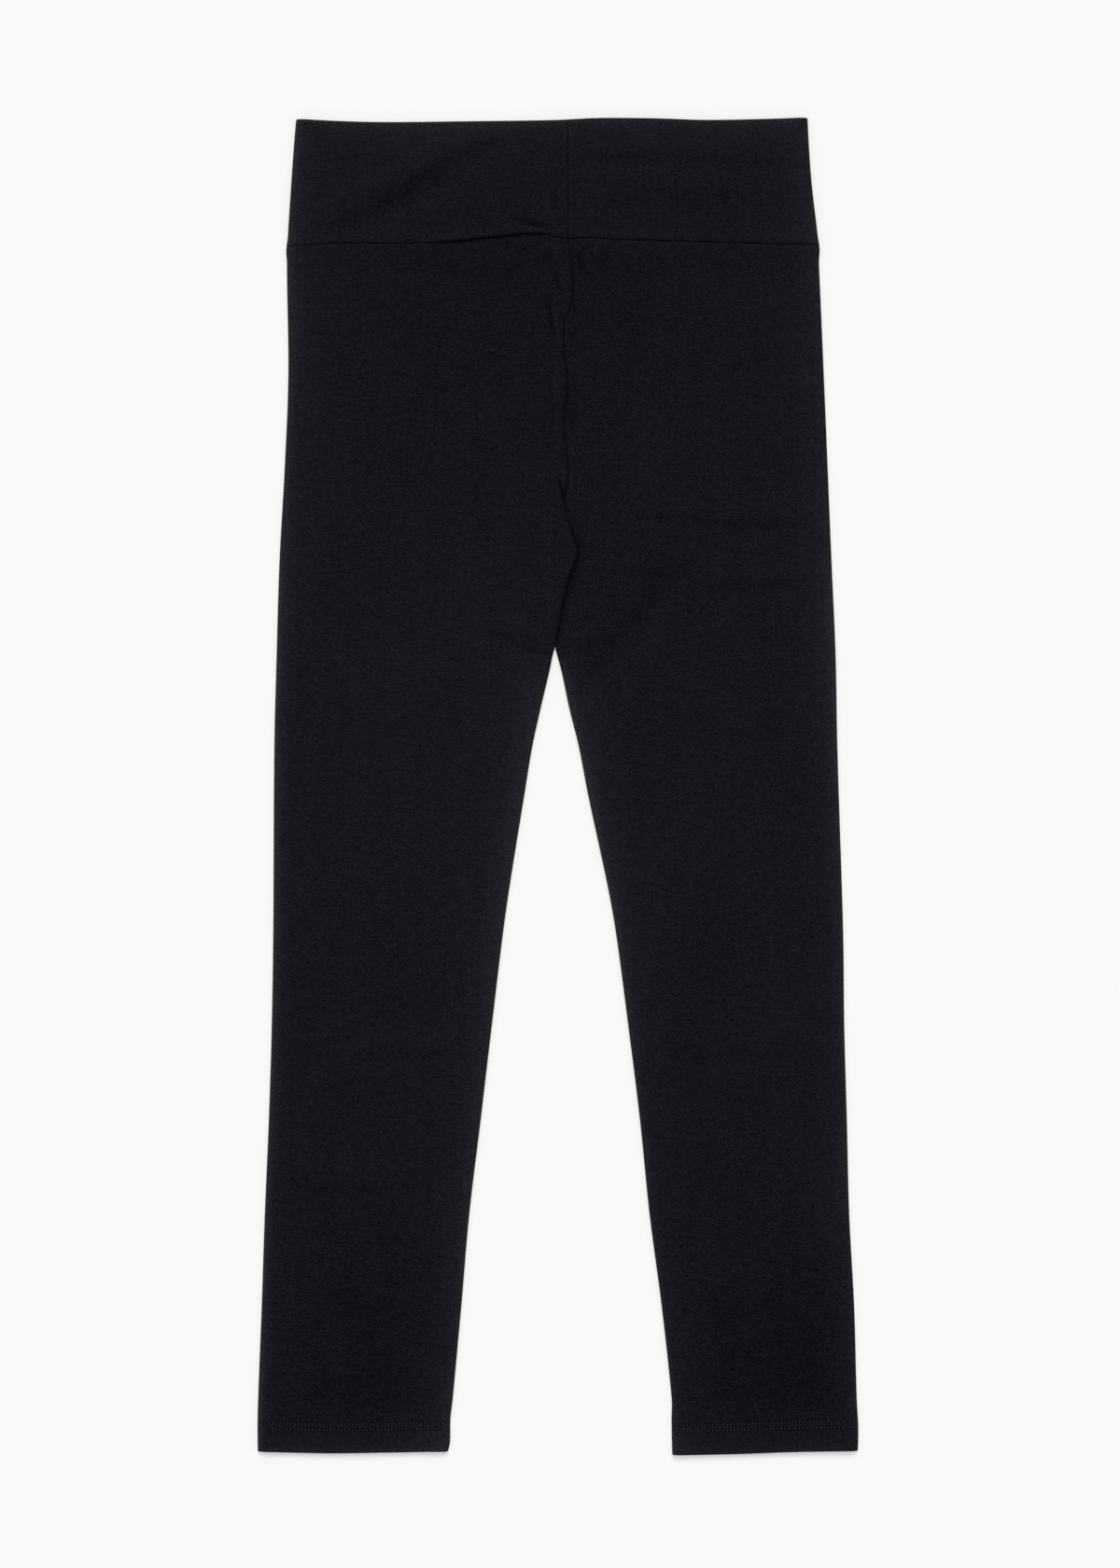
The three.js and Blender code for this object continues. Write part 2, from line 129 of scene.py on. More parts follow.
world = bpy.data.worlds.new("even_white_sky")
world.use_nodes = True
sky = world.node_tree.nodes["Background"]
sky.inputs["Color"].default_value = (1, 1, 1, 1)
sky.inputs["Strength"].default_value = SKY_SHARE
scene.world = world
scene.view_settings.view_transform = "Standard"
sun("overhead_lamp", **OVERHEAD_LAMP)
sun("low_lamp", **LOW_LAMP)
print("light shares: sky", SKY_SHARE, "overhead", OVERHEAD_LAMP["share"], "low", LOW_LAMP["share"])

# %% [markdown]
# Creases in black cloth hardly show under soft light. A photographer adds a lamp that grazes the
# cloth and shades the table from it with a flag. Here the grazing lamp is told which pieces it may
# light, which does the same.

# %% Grazing lamp for the cloth alone
GRAZING_LAMP = {"share": 0.25, "elevation": 17, "softness": 20, "turn": 24}
grazing_lamp = sun("grazing_lamp", **GRAZING_LAMP)
lit_cloth = bpy.data.collections.new("lit_by_the_grazing_lamp")
grazing_lamp.light_linking.receiver_collection = lit_cloth
print("grazing lamp", GRAZING_LAMP["elevation"], "degrees above the cloth")

# %% [markdown]
# ## The jersey
# Single jersey is a fine knit: rows of small V-shaped loops, less than a millimetre across. Black
# cotton jersey is never one even black. Its fibres catch the light in short streaks along the
# courses, and it has a faint bloom where it is seen at a slant. Along its folds it is painted a
# little paler and less blue, partly for dye rubbed off there and partly as painted light where the
# cloth turns away. A picture of knitting could be laid over it, but nodes keep the loops at their
# real size on every piece.

# %% Small helpers for materials
def new_material(name, finish):
    """A material whose own shader has the constant values of a finish."""
    material = bpy.data.materials.new(name)
    material.use_nodes = True
    shader = material.node_tree.nodes["Principled BSDF"]
    for socket, value in finish.items():
        shader.inputs[socket].default_value = value
    return material, material.node_tree, shader


def add_node(tree, kind, inputs=None, **settings):
    """Adds a node, sets its properties, and fills or links its inputs by name or number."""
    node = tree.nodes.new(kind)
    for key, value in settings.items():
        setattr(node, key, value)
    for key, value in (inputs or {}).items():
        if isinstance(value, bpy.types.NodeSocket):
            tree.links.new(value, node.inputs[key])
        else:
            node.inputs[key].default_value = value
    return node


def maths(tree, operation, first, second=0.0):
    return add_node(tree, "ShaderNodeMath", {0: first, 1: second}, operation=operation).outputs[0]


def colour_times(tree, colour, factor):
    inputs = {0: colour, "Scale": factor}
    return add_node(tree, "ShaderNodeVectorMath", inputs, operation="SCALE").outputs["Vector"]


def own_place(tree):
    return add_node(tree, "ShaderNodeTexCoord").outputs["Object"]


def own_value(tree, name):
    """What the mesh itself says at each point, such as its wear and the light and shade painted there."""
    return add_node(tree, "ShaderNodeAttribute", attribute_name=name).outputs["Fac"]


print("helpers ready for cloth and thread")

# %% Noises as large as fibres, courses and patches
NOISE_MIDDLE = (0.25, 0.75)  # nearly all of a noise lies between these two


def rescaled(tree, place, size):
    """The object's own coordinates, counted in steps of a size in mm."""
    scale = [1 / (MM * size[way]) for way in ("wide", "tall", "deep")]
    mapping = add_node(tree, "ShaderNodeMapping", {"Vector": place, "Scale": scale})
    return mapping.outputs["Vector"]


def cloudy(tree, place, size):
    """A soft noise of a size, as a factor that runs from its low to its high value."""
    inputs = {
        "Vector": rescaled(tree, place, size),
        "Scale": 1.0,
        "Detail": size["detail"],
        "Roughness": size["roughness"],
    }
    cloud = add_node(tree, "ShaderNodeTexNoise", inputs).outputs["Fac"]
    inputs = {
        "Value": cloud,
        "From Min": NOISE_MIDDLE[0],
        "From Max": NOISE_MIDDLE[1],
        "To Min": size["low"],
        "To Max": size["high"],
    }
    return add_node(tree, "ShaderNodeMapRange", inputs).outputs["Result"]


def flecked(tree, place, size):
    """A random factor for each short fleck of fibres, because no two take the dye alike."""
    counted = rescaled(tree, place, size)
    fleck = add_node(tree, "ShaderNodeVectorMath", {0: counted}, operation="FLOOR").outputs["Vector"]
    chance = add_node(tree, "ShaderNodeTexWhiteNoise", {"Vector": fleck}).outputs["Value"]
    return maths(tree, "ADD", maths(tree, "MULTIPLY", chance, size["high"] - size["low"]), size["low"])


print("a noise is read between", NOISE_MIDDLE[0], "and", NOISE_MIDDLE[1])

# %% The knit, its streaks and its bloom
# Sizes in mm, how fine a noise is, and the factor on the dye from its lowest to its highest
LOOP = {"wide": 0.8, "tall": 0.6, "deep": 0.8}
LOOP_SLANT = 0.9
LOOP_BODY = 1.5  # height of the wale itself, against loops that rise and sink by 1
STREAKS = {
    "wide": 1.9, "tall": 0.95, "deep": 0.95,
    "detail": 1, "roughness": 0.6,
    "low": 0.36, "high": 1.64,
}
FLECKS = {"wide": 1.05, "tall": 0.55, "deep": 1.05, "low": 0.58, "high": 1.42}
COURSES = {
    "wide": 14, "tall": 1.2, "deep": 14,
    "detail": 1, "roughness": 0.5,
    "low": 0.85, "high": 1.15,
}
MOTTLE = {
    "wide": 8, "tall": 60, "deep": 8,
    "detail": 2, "roughness": 0.55,
    "low": 0.91, "high": 1.09,
}
BLACK_DYE = (0.00418, 0.0043, 0.00662)
# The paler, less blue colour of the fold edges: partly rubbed dye, partly painted light
RUBBED_AND_EDGE_LIT_DYE = (0.005, 0.0049, 0.006)
RUBBED_AND_EDGE_LIT = {"From Min": 1.5, "From Max": 2.5}  # value at which the blue starts to go, and has gone: reached at fold edges, by wear and painted light
LEAST_DYE = 0.02
JERSEY_FINISH = {
    "Roughness": 0.92,
    "Specular IOR Level": 0.06,
    "Sheen Weight": 0.03,
    "Sheen Roughness": 0.35,
    "Sheen Tint": (0.86, 0.88, 1, 1),
}
KNIT_BUMP = {"Strength": 0.35, "Distance": 0.08 * MM}


def knit_height(tree, place):
    """Height of the loops: a column of Vs for each wale."""
    axes = add_node(tree, "ShaderNodeSeparateXYZ", {0: rescaled(tree, place, LOOP)}).outputs
    from_middle = maths(tree, "SUBTRACT", maths(tree, "FRACT", axes["X"]), 0.5)
    in_wale = maths(tree, "ABSOLUTE", from_middle)
    slanted = maths(tree, "ADD", axes["Y"], maths(tree, "MULTIPLY", in_wale, 2 * LOOP_SLANT))
    loops = maths(tree, "SINE", maths(tree, "MULTIPLY", slanted, 2 * math.pi))
    column = maths(tree, "SINE", maths(tree, "MULTIPLY", in_wale, 2 * math.pi))
    return maths(tree, "MULTIPLY", maths(tree, "ADD", loops, LOOP_BODY), column)


def dye_factor(tree, place, painted_light_and_wear):
    """How pale the dye is at each place: the wear with its painted light and shade, and a grain that grows
    with its root.
    """
    grain = maths(tree, "MULTIPLY", cloudy(tree, place, STREAKS), flecked(tree, place, FLECKS))
    grain = maths(tree, "MULTIPLY", grain, cloudy(tree, place, COURSES))
    grain = maths(tree, "MULTIPLY", maths(tree, "SUBTRACT", grain, 1.0), maths(tree, "SQRT", painted_light_and_wear))
    worn_and_painted = maths(tree, "MULTIPLY", painted_light_and_wear, cloudy(tree, place, MOTTLE))
    return maths(tree, "MAXIMUM", maths(tree, "ADD", worn_and_painted, grain), LEAST_DYE)


def jersey(name):
    """Black cotton jersey: grained dye that turns grey where it is rubbed and where light is painted on its
    folds, over the relief of the loops.
    """
    material, tree, shader = new_material(name, JERSEY_FINISH)
    place = own_place(tree)
    painted_light_and_wear = own_value(tree, "painted_light_and_wear")
    rubbed_and_lit = add_node(tree, "ShaderNodeMapRange", {"Value": painted_light_and_wear, **RUBBED_AND_EDGE_LIT}).outputs["Result"]
    dyes = {0: rubbed_and_lit, 6: (*BLACK_DYE, 1), 7: (*RUBBED_AND_EDGE_LIT_DYE, 1)}
    dye = add_node(tree, "ShaderNodeMix", dyes, data_type="RGBA").outputs[2]
    tree.links.new(colour_times(tree, dye, dye_factor(tree, place, painted_light_and_wear)), shader.inputs["Base Color"])
    bump = add_node(tree, "ShaderNodeBump", {"Height": knit_height(tree, place), **KNIT_BUMP})
    tree.links.new(bump.outputs["Normal"], shader.inputs["Normal"])
    return material


leg_jersey = jersey("leg_jersey")
waistband_jersey = jersey("waistband_jersey")
print("jersey finishes:", leg_jersey.name, waistband_jersey.name)

# %% [markdown]
# ## The sewing thread
# The hems are sewn with black polyester thread. It is smoother and shinier than the cotton around
# it, so its colour is painted paler than the cloth's black as painted sheen, and each stitch shows as a
# small paler dot.

# %% Thread finish
# Black thread painted paler than the cloth, as painted sheen
THREAD_BLACK_WITH_PAINTED_SHEEN = (0.0195, 0.02, 0.0265)
THREAD_FINISH = {"Roughness": 0.6, "Specular IOR Level": 0.05}
PLY = {
    "wide": 0.3, "tall": 0.9, "deep": 0.3,
    "detail": 1, "roughness": 0.5,
    "low": 0.75, "high": 1.25,
}


def thread(name):
    """Thread with the light and dark of its twist, and painted shade where it is sunk in the cloth."""
    material, tree, shader = new_material(name, THREAD_FINISH)
    unshaded = maths(tree, "SUBTRACT", 1.0, own_value(tree, "shade_and_dim"))
    factor = maths(tree, "MULTIPLY", cloudy(tree, own_place(tree), PLY), unshaded)
    tree.links.new(colour_times(tree, THREAD_BLACK_WITH_PAINTED_SHEEN, factor), shader.inputs["Base Color"])
    return material


sewing_thread = thread("sewing_thread")
print("thread finish:", sewing_thread.name)

# %% [markdown]
# ## The pattern's outline
# A cutter works from a few measured places along each edge and draws a smooth curve through them.
# The tables do the same. "down" is the distance below the highest point of the waist, and the other
# columns are distances from the middle of the garment, in millimetres. "right" is the wearer's
# right leg, on the left in the picture.

# %% Side folds, centre line and inner folds
GARMENT_LENGTH = 971.3
HIP_DOWN = 186
CROTCH_DOWN = 314.4
PARTING_DOWN = 384.2

SIDES = {
    "down": [0, 23, 50, 87, 110, HIP_DOWN, 253, 321, 389, 457, 592, 660, 728, 796, 864, 931, 952, 971],
    "right": [
        -190.1, -192, -193.9, -196.2, -196.9, -195.9, -198.5, -202.3, -204.4, -206.1, -206.9, -208,
        -210.1, -213, -215.3, -217.9, -218.3, -218.1,
    ],
    "left": [
        181.2, 182.4, 184.5, 188.7, 189.8, 193.1, 195.9, 198.7, 201.7, 203, 207.2, 208, 209.9, 211.6,
        215.2, 217.1, 218.2, 217.8,
    ],
}
CENTRE_LINE = {
    "down": [
        0, 88, 96, 104, 116, 128, 137, 145, 151, 166, 176, HIP_DOWN, 198, 213, 230, 247, 264, 274,
        279, 286, 297, 306, 311.5, CROTCH_DOWN, 318, 324, 336, 348, 366, PARTING_DOWN,
    ],
    "front": [
        7.4, 7.7, 8.4, 10, 11.5, 11.5, 9.6, 6.3, 4.8, 4.6, 5.6, 7.1, 6.9, 5.8, 5.4, 6.8, 7.3, 5.4,
        5.1, 6.5, 9.2, 12, 14, 14.6, 14, 12.2, 7.5, 4.9, 1.4, -2.1,
    ],
    "back": [
        7.5, 7.2, 7.1, 7, 6.9, 6.7, 6.5, 6.4, 6.3, 6.1, 6, 6, 6, 6, 6, 6.4, 7.2, 7.8, 8.3, 9.2,
        11.2, 13.6, 14.6, 14.6, 14, 12.2, 7.5, 4.9, 1.4, -2.1,
    ],
}
INNER_FOLDS = {
    "down": [
        PARTING_DOWN, 389, 402.5, 429.6, 456.8, 490.7, 558.5, 592.4, 660.2, 728, 795.8, 863.6,
        931.4, 945, 962, 971,
    ],
    "right": [
        -2.1, -3.6, -6.4, -12.8, -18.7, -24.3, -35.2, -40, -48.2, -56.2, -64.4, -70.3, -76.6, -78.2,
        -78.5, -80.6,
    ],
    "left": [-2.1, -0.9, 2.7, 8.4, 15.2, 21.7, 36.2, 42.2, 51.2, 59.6, 66.5, 75.4, 82.7, 82.5, 82.8, 83],
}


def read_table(table, place_name, place, column_name):
    """Reads a column at any place between its rows, along a smooth curve through them."""
    places = np.array(table[place_name], float)
    values = np.array(table[column_name], float)
    rows = np.arange(len(places))
    before = np.maximum(rows - 1, 0)
    after = np.minimum(rows + 1, len(places) - 1)
    slopes = (values[after] - values[before]) / (places[after] - places[before])
    place = np.clip(place, places[0], places[-1])
    row = np.clip(np.searchsorted(places, place, side="right") - 1, 0, len(places) - 2)
    length = places[row + 1] - places[row]
    t = (place - places[row]) / length
    start = (2 * t**3 - 3 * t**2 + 1) * values[row] + (t**3 - 2 * t**2 + t) * length * slopes[row]
    end = (3 * t**2 - 2 * t**3) * values[row + 1] + (t**3 - t**2) * length * slopes[row + 1]
    return start + end


hip = read_table(SIDES, "down", HIP_DOWN, "left") - read_table(SIDES, "down", HIP_DOWN, "right")
print("width across the hips, flat:", round(float(hip), 1), "mm")

# %% Edges that run across
WAIST_EDGE = {
    "across": [-191, -134, -60, 0, 28, 70, 110, 182],
    "front": [1.2, 3.3, 2.7, 1.8, 0.4, 0.6, 1.8, 0.2],
    "back": [1.2, 3.8, 4, 3.4, 2.8, 2.6, 2.8, 0.2],
}
WAIST_SEAM = {
    "across": [-197, -153, -90, -37, -18, -12, 0, 7, 22, 42, 69, 147, 190],
    "front": [93.8, 91.5, 91.1, 85.9, 84.1, 84.3, 87.3, 88.2, 87.6, 88.6, 89.5, 91.7, 92.9],
    "back": [93.7, 93, 92.2, 91.6, 91.4, 91.4, 91.2, 91.2, 91.2, 91.3, 91.4, 92, 92.6],
}
HEM_EDGE = {
    "across": [-219, -168, -119, -80, 82, 133, 165, 218],
    "front": [968.8, 970, 969.4, 968.9, 971.3, 970.5, 969.3, 968.3],
    "back": [968.8, 969, 968.6, 968.9, 971.3, 969.6, 968.7, 968.3],
}


def edge_at(table, x, front):
    """How far down an edge lies at x, on the front or on the back."""
    return np.where(front, read_table(table, "across", x, "front"), read_table(table, "across", x, "back"))


band_depth = edge_at(WAIST_SEAM, 0, True) - edge_at(WAIST_EDGE, 0, True)
print("waistband depth at the middle:", round(float(band_depth), 1), "mm")

# %% Shapes that the folds and seams are made from
def smooth(value):
    """A step from 0 to 1 that begins and ends gently."""
    value = np.clip(value, 0, 1)
    return value * value * (3 - 2 * value)


def bell(distance, spread_out):
    """1 at a line and less beside it, nearly 0 at twice the spread."""
    return np.exp(-((distance / spread_out) ** 2))


def quarter_round(value):
    """Rises from 0 to 1 as a quarter of a circle does."""
    return np.sqrt(1 - (1 - np.clip(value, 0, 1)) ** 2)


def mix(a, b, share):
    return a + (b - a) * share


print("a smooth step is halfway up at its middle, a quarter round at", round(float(quarter_round(0.5)), 2))

# %% The two edges of a piece
SIDE_BULGE = {"reach": 0.9, "below": 2, "spread": 6}  # of the side fold at the waist seam
HEM_LINE_DOWN = 965


def outer_edge(side, down):
    """The side fold, which stands out a little where the waist seam's turned edges thicken it."""
    sign = 1 if side == "left" else -1
    seam_down = WAIST_SEAM["front"][-1 if side == "left" else 0]
    bulge = SIDE_BULGE["reach"] * bell(down - seam_down - SIDE_BULGE["below"], SIDE_BULGE["spread"])
    return read_table(SIDES, "down", down, side) + sign * bulge


def inner_edge(side, front, down):
    """The centre seam, and below the parting the leg's inner fold."""
    centre_front = read_table(CENTRE_LINE, "down", down, "front")
    centre_back = read_table(CENTRE_LINE, "down", down, "back")
    centre = np.where(front, centre_front, centre_back)
    return np.where(down > PARTING_DOWN, read_table(INNER_FOLDS, "down", down, side), centre)


hem_width = inner_edge("right", True, HEM_LINE_DOWN) - outer_edge("right", HEM_LINE_DOWN)
print("hem width of one leg:", round(float(hem_width), 1), "mm")

# %% [markdown]
# ## Steps round a section
# One piece is a grid. Its columns run across the front from the centre, over the side fold, and
# back underneath, and its rows run down the leg. The steps are close together where the cloth turns
# or sinks into a seam, and wide in the flat middle, which is how a modeller saves faces.
# Subdividing the whole piece evenly would need ten times as many for the same seams.

# %% Columns of the grid
SEAM_REACHES = [0, 0.15, 0.35, 0.6, 0.9, 1.3, 1.8, 2.4, 3.1, 4, 5, 6.2, 7.6, 9.2, 11, 13, 15.5, 18, 21, 24]
FOLD_REACHES = [0, 0.2, 0.5, 0.9, 1.4, 2, 2.8, 3.8, 5, 6.5, 8.2, 10.2, 13, 16]
BACK_SEAM_REACHES = [0, 0.3, 0.7, 1.2, 1.8, 2.6, 3.6, 4.4, 5, 5.6, 6.6, 8.5, 11, 15]
BACK_FOLD_REACHES = [0.3, 0.8, 1.4, 2.2, 4, 7, 11, 16]
FLAT_STEPS = {"front": 40, "back": 30}
COLUMN_VALUES = ["front", "inner", "outer", "share", "first_margin", "last_margin"]


def flat_columns(front, shares, margins):
    """Even columns over the flat middle, between the close ones near the two edges."""
    return [(front, np.nan, np.nan, share, *margins) for share in shares]


def section_columns():
    """
    For every column: whether it is on the front, and its reach from the inner or the outer edge, or
    else its share of the flat middle and the margins that the close columns take on both sides.
    """
    front_shares = [step / FLAT_STEPS["front"] for step in range(1, FLAT_STEPS["front"])]
    back_shares = [step / FLAT_STEPS["back"] for step in range(FLAT_STEPS["back"] - 1, 0, -1)]
    columns = [(True, reach, np.nan, np.nan, 0, 0) for reach in SEAM_REACHES]
    columns += flat_columns(True, front_shares, (SEAM_REACHES[-1], FOLD_REACHES[-1]))
    columns += [(True, np.nan, reach, np.nan, 0, 0) for reach in reversed(FOLD_REACHES)]
    columns += [(False, np.nan, reach, np.nan, 0, 0) for reach in BACK_FOLD_REACHES]
    columns += flat_columns(False, back_shares, (BACK_SEAM_REACHES[-1], BACK_FOLD_REACHES[-1]))
    columns += [(False, reach, np.nan, np.nan, 0, 0) for reach in reversed(BACK_SEAM_REACHES)]
    return {name: np.array([column[i] for column in columns]) for i, name in enumerate(COLUMN_VALUES)}


COLUMNS = section_columns()
print("columns round a piece:", len(COLUMNS["front"]))

# %% Place of each grid point across the piece
SETTLING_TURNS = 3


def across_at(side, down):
    """x of every grid point, with its distances from the piece's inner and outer edge."""
    front = np.broadcast_to(COLUMNS["front"].astype(bool), down.shape)
    inner = inner_edge(side, front, down)
    outer = outer_edge(side, down)
    sign = np.sign(outer - inner)
    width = np.abs(outer - inner)
    between = mix(COLUMNS["first_margin"], width - COLUMNS["last_margin"], COLUMNS["share"])
    from_inner = np.where(np.isnan(COLUMNS["inner"]), between, COLUMNS["inner"])
    from_inner = np.where(np.isnan(COLUMNS["outer"]), from_inner, width - COLUMNS["outer"])
    return {
        "x": inner + sign * from_inner,
        "sign": sign,
        "from_inner": from_inner,
        "from_outer": width - from_inner,
        "front": front,
    }


def settle_rows(side, rows, place_row):
    """How far down each point lies. Rows beside an edge follow it, so x and down are found in turns."""
    down = np.repeat(np.array(rows, float)[:, None], len(COLUMNS["front"]), axis=1)
    levels = down.copy()
    for _ in range(SETTLING_TURNS):
        across = across_at(side, down)
        down = place_row(levels, across["x"], across["front"])
    return down, across_at(side, down)


hip_columns = across_at("right", np.full(COLUMNS["front"].shape, float(HIP_DOWN)))
print("widest step at the hip:", round(float(np.abs(np.diff(hip_columns["x"])).max()), 1), "mm")

# %% [markdown]
# ## Creases
# Jersey that has been folded in a drawer and then smoothed by hand keeps soft marks: pressed lines
# across the legs, a slanting hollow in the waistband, small puckers beside the centre seam and
# short folds at the crotch. A cloth simulation gives random folds, and these have places, so each
# is drawn as a soft ridge or trough. A table gives both ends in millimetres, how far it
# bows sideways, how steep each of its sides is, and how high it stands, below zero for a trough.

# %% Creases of the front
CREASE_COLUMNS = ["x1", "down1", "x2", "down2", "bow", "near", "far", "lift"]
BAND_CREASES = [
    (-167, 85, -90, 46, 3, 7, 13, -0.9),
    (-116, 58, -60, 25, -2, 6, 12, -0.9),
    (-70, 30, -28, 11, 0, 4, 8, -0.6),
    (-160, 62, -78, 24, 3, 12, 11, 0.95),
    (-120, 76, -58, 58, 2, 9, 12, 0.45),
    (-29, 74, -7, 80, 0.5, 1.4, 2.4, -1.2),
    (-2.5, 58, -1, 70, 0, 1.6, 2.4, -0.8),
    (-16, 80, -4, 83, 0, 1, 1.8, -0.4),
    (3, 76, 5, 84, 0, 1, 1.6, -0.3),
    (10, 20, 10.4, 84, 0.3, 1, 1, 0.3),
    (-24, 40, -12, 12, 2, 4, 6, -0.3),
    (18, 32, 96, 31, -1.5, 3, 7, -0.4),
    (88, 31, 178, 36, 1, 3.5, 8, -0.4),
    (24, 44, 168, 49, 1, 10, 12, 0.5),
    (30, 20, 150, 21, 2, 8, 10, 0.3),
    (40, 62, 150, 70, -3, 8, 12, -0.1),
    (108, 54, 134, 62, 1, 5, 7, -0.45),
    (18, 84, 28, 24, 2, 4, 7, 0.2),
    (17, 50, 18, 78, 1.5, 1.6, 2, 0.3),
    (34, 82, 42, 46, 2, 5, 8, -0.18),
    (-180, 30, -168, 66, 0, 5, 8, -0.15),
    (166, 20, 174, 66, 1, 5, 8, -0.15),
]
LEG_CREASES = [
    # Puckers on both sides of the centre seam
    (-7.8, 126, -2.2, 168, -0.6, 1, 1.6, -1.2),
    (-3.6, 128, 1.8, 168, -0.4, 1.6, 1.6, 0.4),
    (-0.8, 112, 1.6, 126, 0.2, 0.9, 1.4, -0.8),
    (1.4, 122, 4.8, 136, 0.3, 0.9, 1.4, -0.6),
    (-7, 99, 1, 122, 0.6, 1.2, 2, -0.55),
    (-12, 97, -2, 106, 0.4, 1.4, 2, -0.35),
    (1.8, 139, 3.9, 149, 0, 0.8, 1.3, -0.6),
    (7.2, 94, 7.4, 126, 0, 0.8, 0.8, 0.55),
    (15, 98, 18.8, 110, 0, 1, 1.8, -0.6),
    (14, 102, 34, 128, 1, 1.4, 3, -0.7),
    (12, 128, 14, 144, 0.3, 1.4, 2.4, -0.3),
    (1.2, 264, 4.9, 280, -0.4, 0.9, 1.5, -2.1),
    (-4, 200, -1, 236, 1, 3, 5, -0.28),
    (-11, 182, -7, 214, -1, 4, 6, 0.3),
    (12, 196, 15, 246, 1.5, 3, 6, -0.25),
    (20, 160, 24, 228, 1, 6, 9, 0.3),
    (-16, 104, -13, 150, 1, 3, 6, -0.22),
    (48, 130, 49, 268, 1, 3, 6, -0.25),
    (1.6, 186, 1, 250, 0.3, 1.2, 2, 0.35),
    # Drag lines under the waist seam
    (64, 89, 68, 96, 0.5, 0.8, 1.6, -0.5),
    (-40, 93, -12, 96, 1, 4, 7, -0.4),
    (-150, 100, -60, 97, 2, 6, 12, -0.3),
    (28, 100, 120, 104, -2, 6, 12, -0.25),
    (-60, 118, -22, 122, -1, 5, 8, -0.2),
    # Folds across the thigh on the left
    (98, 295, 174, 297, 1, 2.6, 6, -0.45),
    (104, 286, 170, 288, 0, 7, 9, 0.3),
    (54, 291, 102, 292, 0.5, 2.4, 5, -0.5),
    (108, 344, 176, 341, -1, 2.6, 6, -0.5),
    (50, 331, 78, 333, 1, 4, 6, -0.4),
    (108, 334, 176, 332, 0, 7, 9, 0.3),
    (104, 449, 176, 448, 1, 3, 7, -0.4),
    (70, 434, 112, 440, 2, 4, 8, -0.2),
    (76, 336, 46, 384, -2, 6, 9, -1),
    (46, 382, 16, 424, 1, 6, 8, -0.9),
    (88, 350, 44, 424, -3, 12, 12, 0.6),
    # Short folds that run into the crotch
    (-46, 375, -26, 385, -1.5, 1.6, 3.5, -0.7),
    (-28, 384, -5, 389, 0.5, 1.4, 3, -0.7),
    (-46, 364, -16, 373, -1, 7, 8, 0.6),
    (-30, 352, -10, 366, 1, 3, 5, -0.25),
    (4, 391, 28, 385, 0.8, 2, 3.5, -0.5),
    (28, 385, 44, 379, 0, 2.6, 4, -0.3),
    (10, 380, 30, 372, 1, 5, 6, 0.35),
    (14, 330, 30, 352, 1.5, 3, 5, -0.25),
    (-26, 322, -6, 330, 1, 3, 5, -0.22),
    # Pressed lines across the lower legs
    (-152, 682, -108, 681, 0.6, 1.8, 5, -0.45),
    (-112, 681.5, -64, 683, -0.5, 1.8, 5, -0.5),
    (-164, 668, -58, 669, 1, 9, 10, 0.3),
    (-190, 684, -156, 682, 0, 3, 6, -0.2),
    (86, 683, 126, 681.5, 0.5, 1.8, 5, -0.45),
    (120, 681.5, 166, 682.5, -0.5, 1.8, 5, -0.5),
    (78, 668, 172, 669, 1, 9, 10, 0.3),
    (170, 683, 198, 680, 0, 3, 6, -0.2),
    (-190, 778, -124, 778.5, 1, 2.2, 6, -0.4),
    (-120, 779, -84, 777, 0, 3, 7, -0.2),
    (-176, 766, -110, 767, 0, 9, 10, 0.25),
    (96, 706, 150, 714, 2, 4, 8, -0.2),
    # Slack along the legs
    (-160, 440, -84, 452, 3, 10, 16, -0.22),
    (-170, 400, -60, 408, -3, 12, 16, 0.25),
    (-110, 520, -128, 640, 4, 10, 14, 0.22),
    (121, 458, 127, 540, 0, 3, 4, 0.35),
    (118, 572, 108, 640, 0, 8, 10, -0.3),
    (140, 500, 150, 620, -4, 10, 12, 0.25),
    (-190, 600, -186, 740, 2, 6, 10, -0.2),
    (188, 700, 196, 800, 2, 6, 10, -0.2),
    (100, 742, 92, 820, 3, 8, 12, -0.2),
    (-100, 800, -112, 900, 3, 8, 12, 0.2),
    (150, 840, 142, 930, -3, 8, 12, 0.2),
    (-170, 862, -104, 868, 2, 7, 10, -0.2),
    (104, 872, 190, 862, -2, 7, 10, -0.2),
]
print("creases drawn on the front:", len(BAND_CREASES) + len(LEG_CREASES))

# %% Height of the creases
CREASE_STRENGTH = 1.6
CREASE_END_SHARE = 0.3  # how high a crease still stands at its ends
NARROW_CREASE = 5  # a crease this wide counts for half as much as the narrowest


def crease_relief(creases, x, down, sharpness=0):
    """Height that the creases of a list add at each place. Sharpness counts narrow ones for more."""
    total = np.zeros_like(x, dtype=float)
    for row in creases:
        crease = dict(zip(CREASE_COLUMNS, row))
        width = crease["near"] + crease["far"]
        weight = (NARROW_CREASE / (NARROW_CREASE + width)) ** sharpness
        run_x = crease["x2"] - crease["x1"]
        run_down = crease["down2"] - crease["down1"]
        length = math.hypot(run_x, run_down)
        along = ((x - crease["x1"]) * run_x + (down - crease["down1"]) * run_down) / length**2
        aside = ((down - crease["down1"]) * run_x - (x - crease["x1"]) * run_down) / length
        on_line = np.clip(along, 0, 1)
        aside = aside - crease["bow"] * np.sin(math.pi * on_line)
        reach = np.where(aside < 0, crease["near"], crease["far"])
        past_end = (along - on_line) * length
        body = mix(CREASE_END_SHARE, 1, np.sin(math.pi * on_line))
        total += weight * crease["lift"] * body * bell(aside, reach) * bell(past_end, width / 2)
    return total


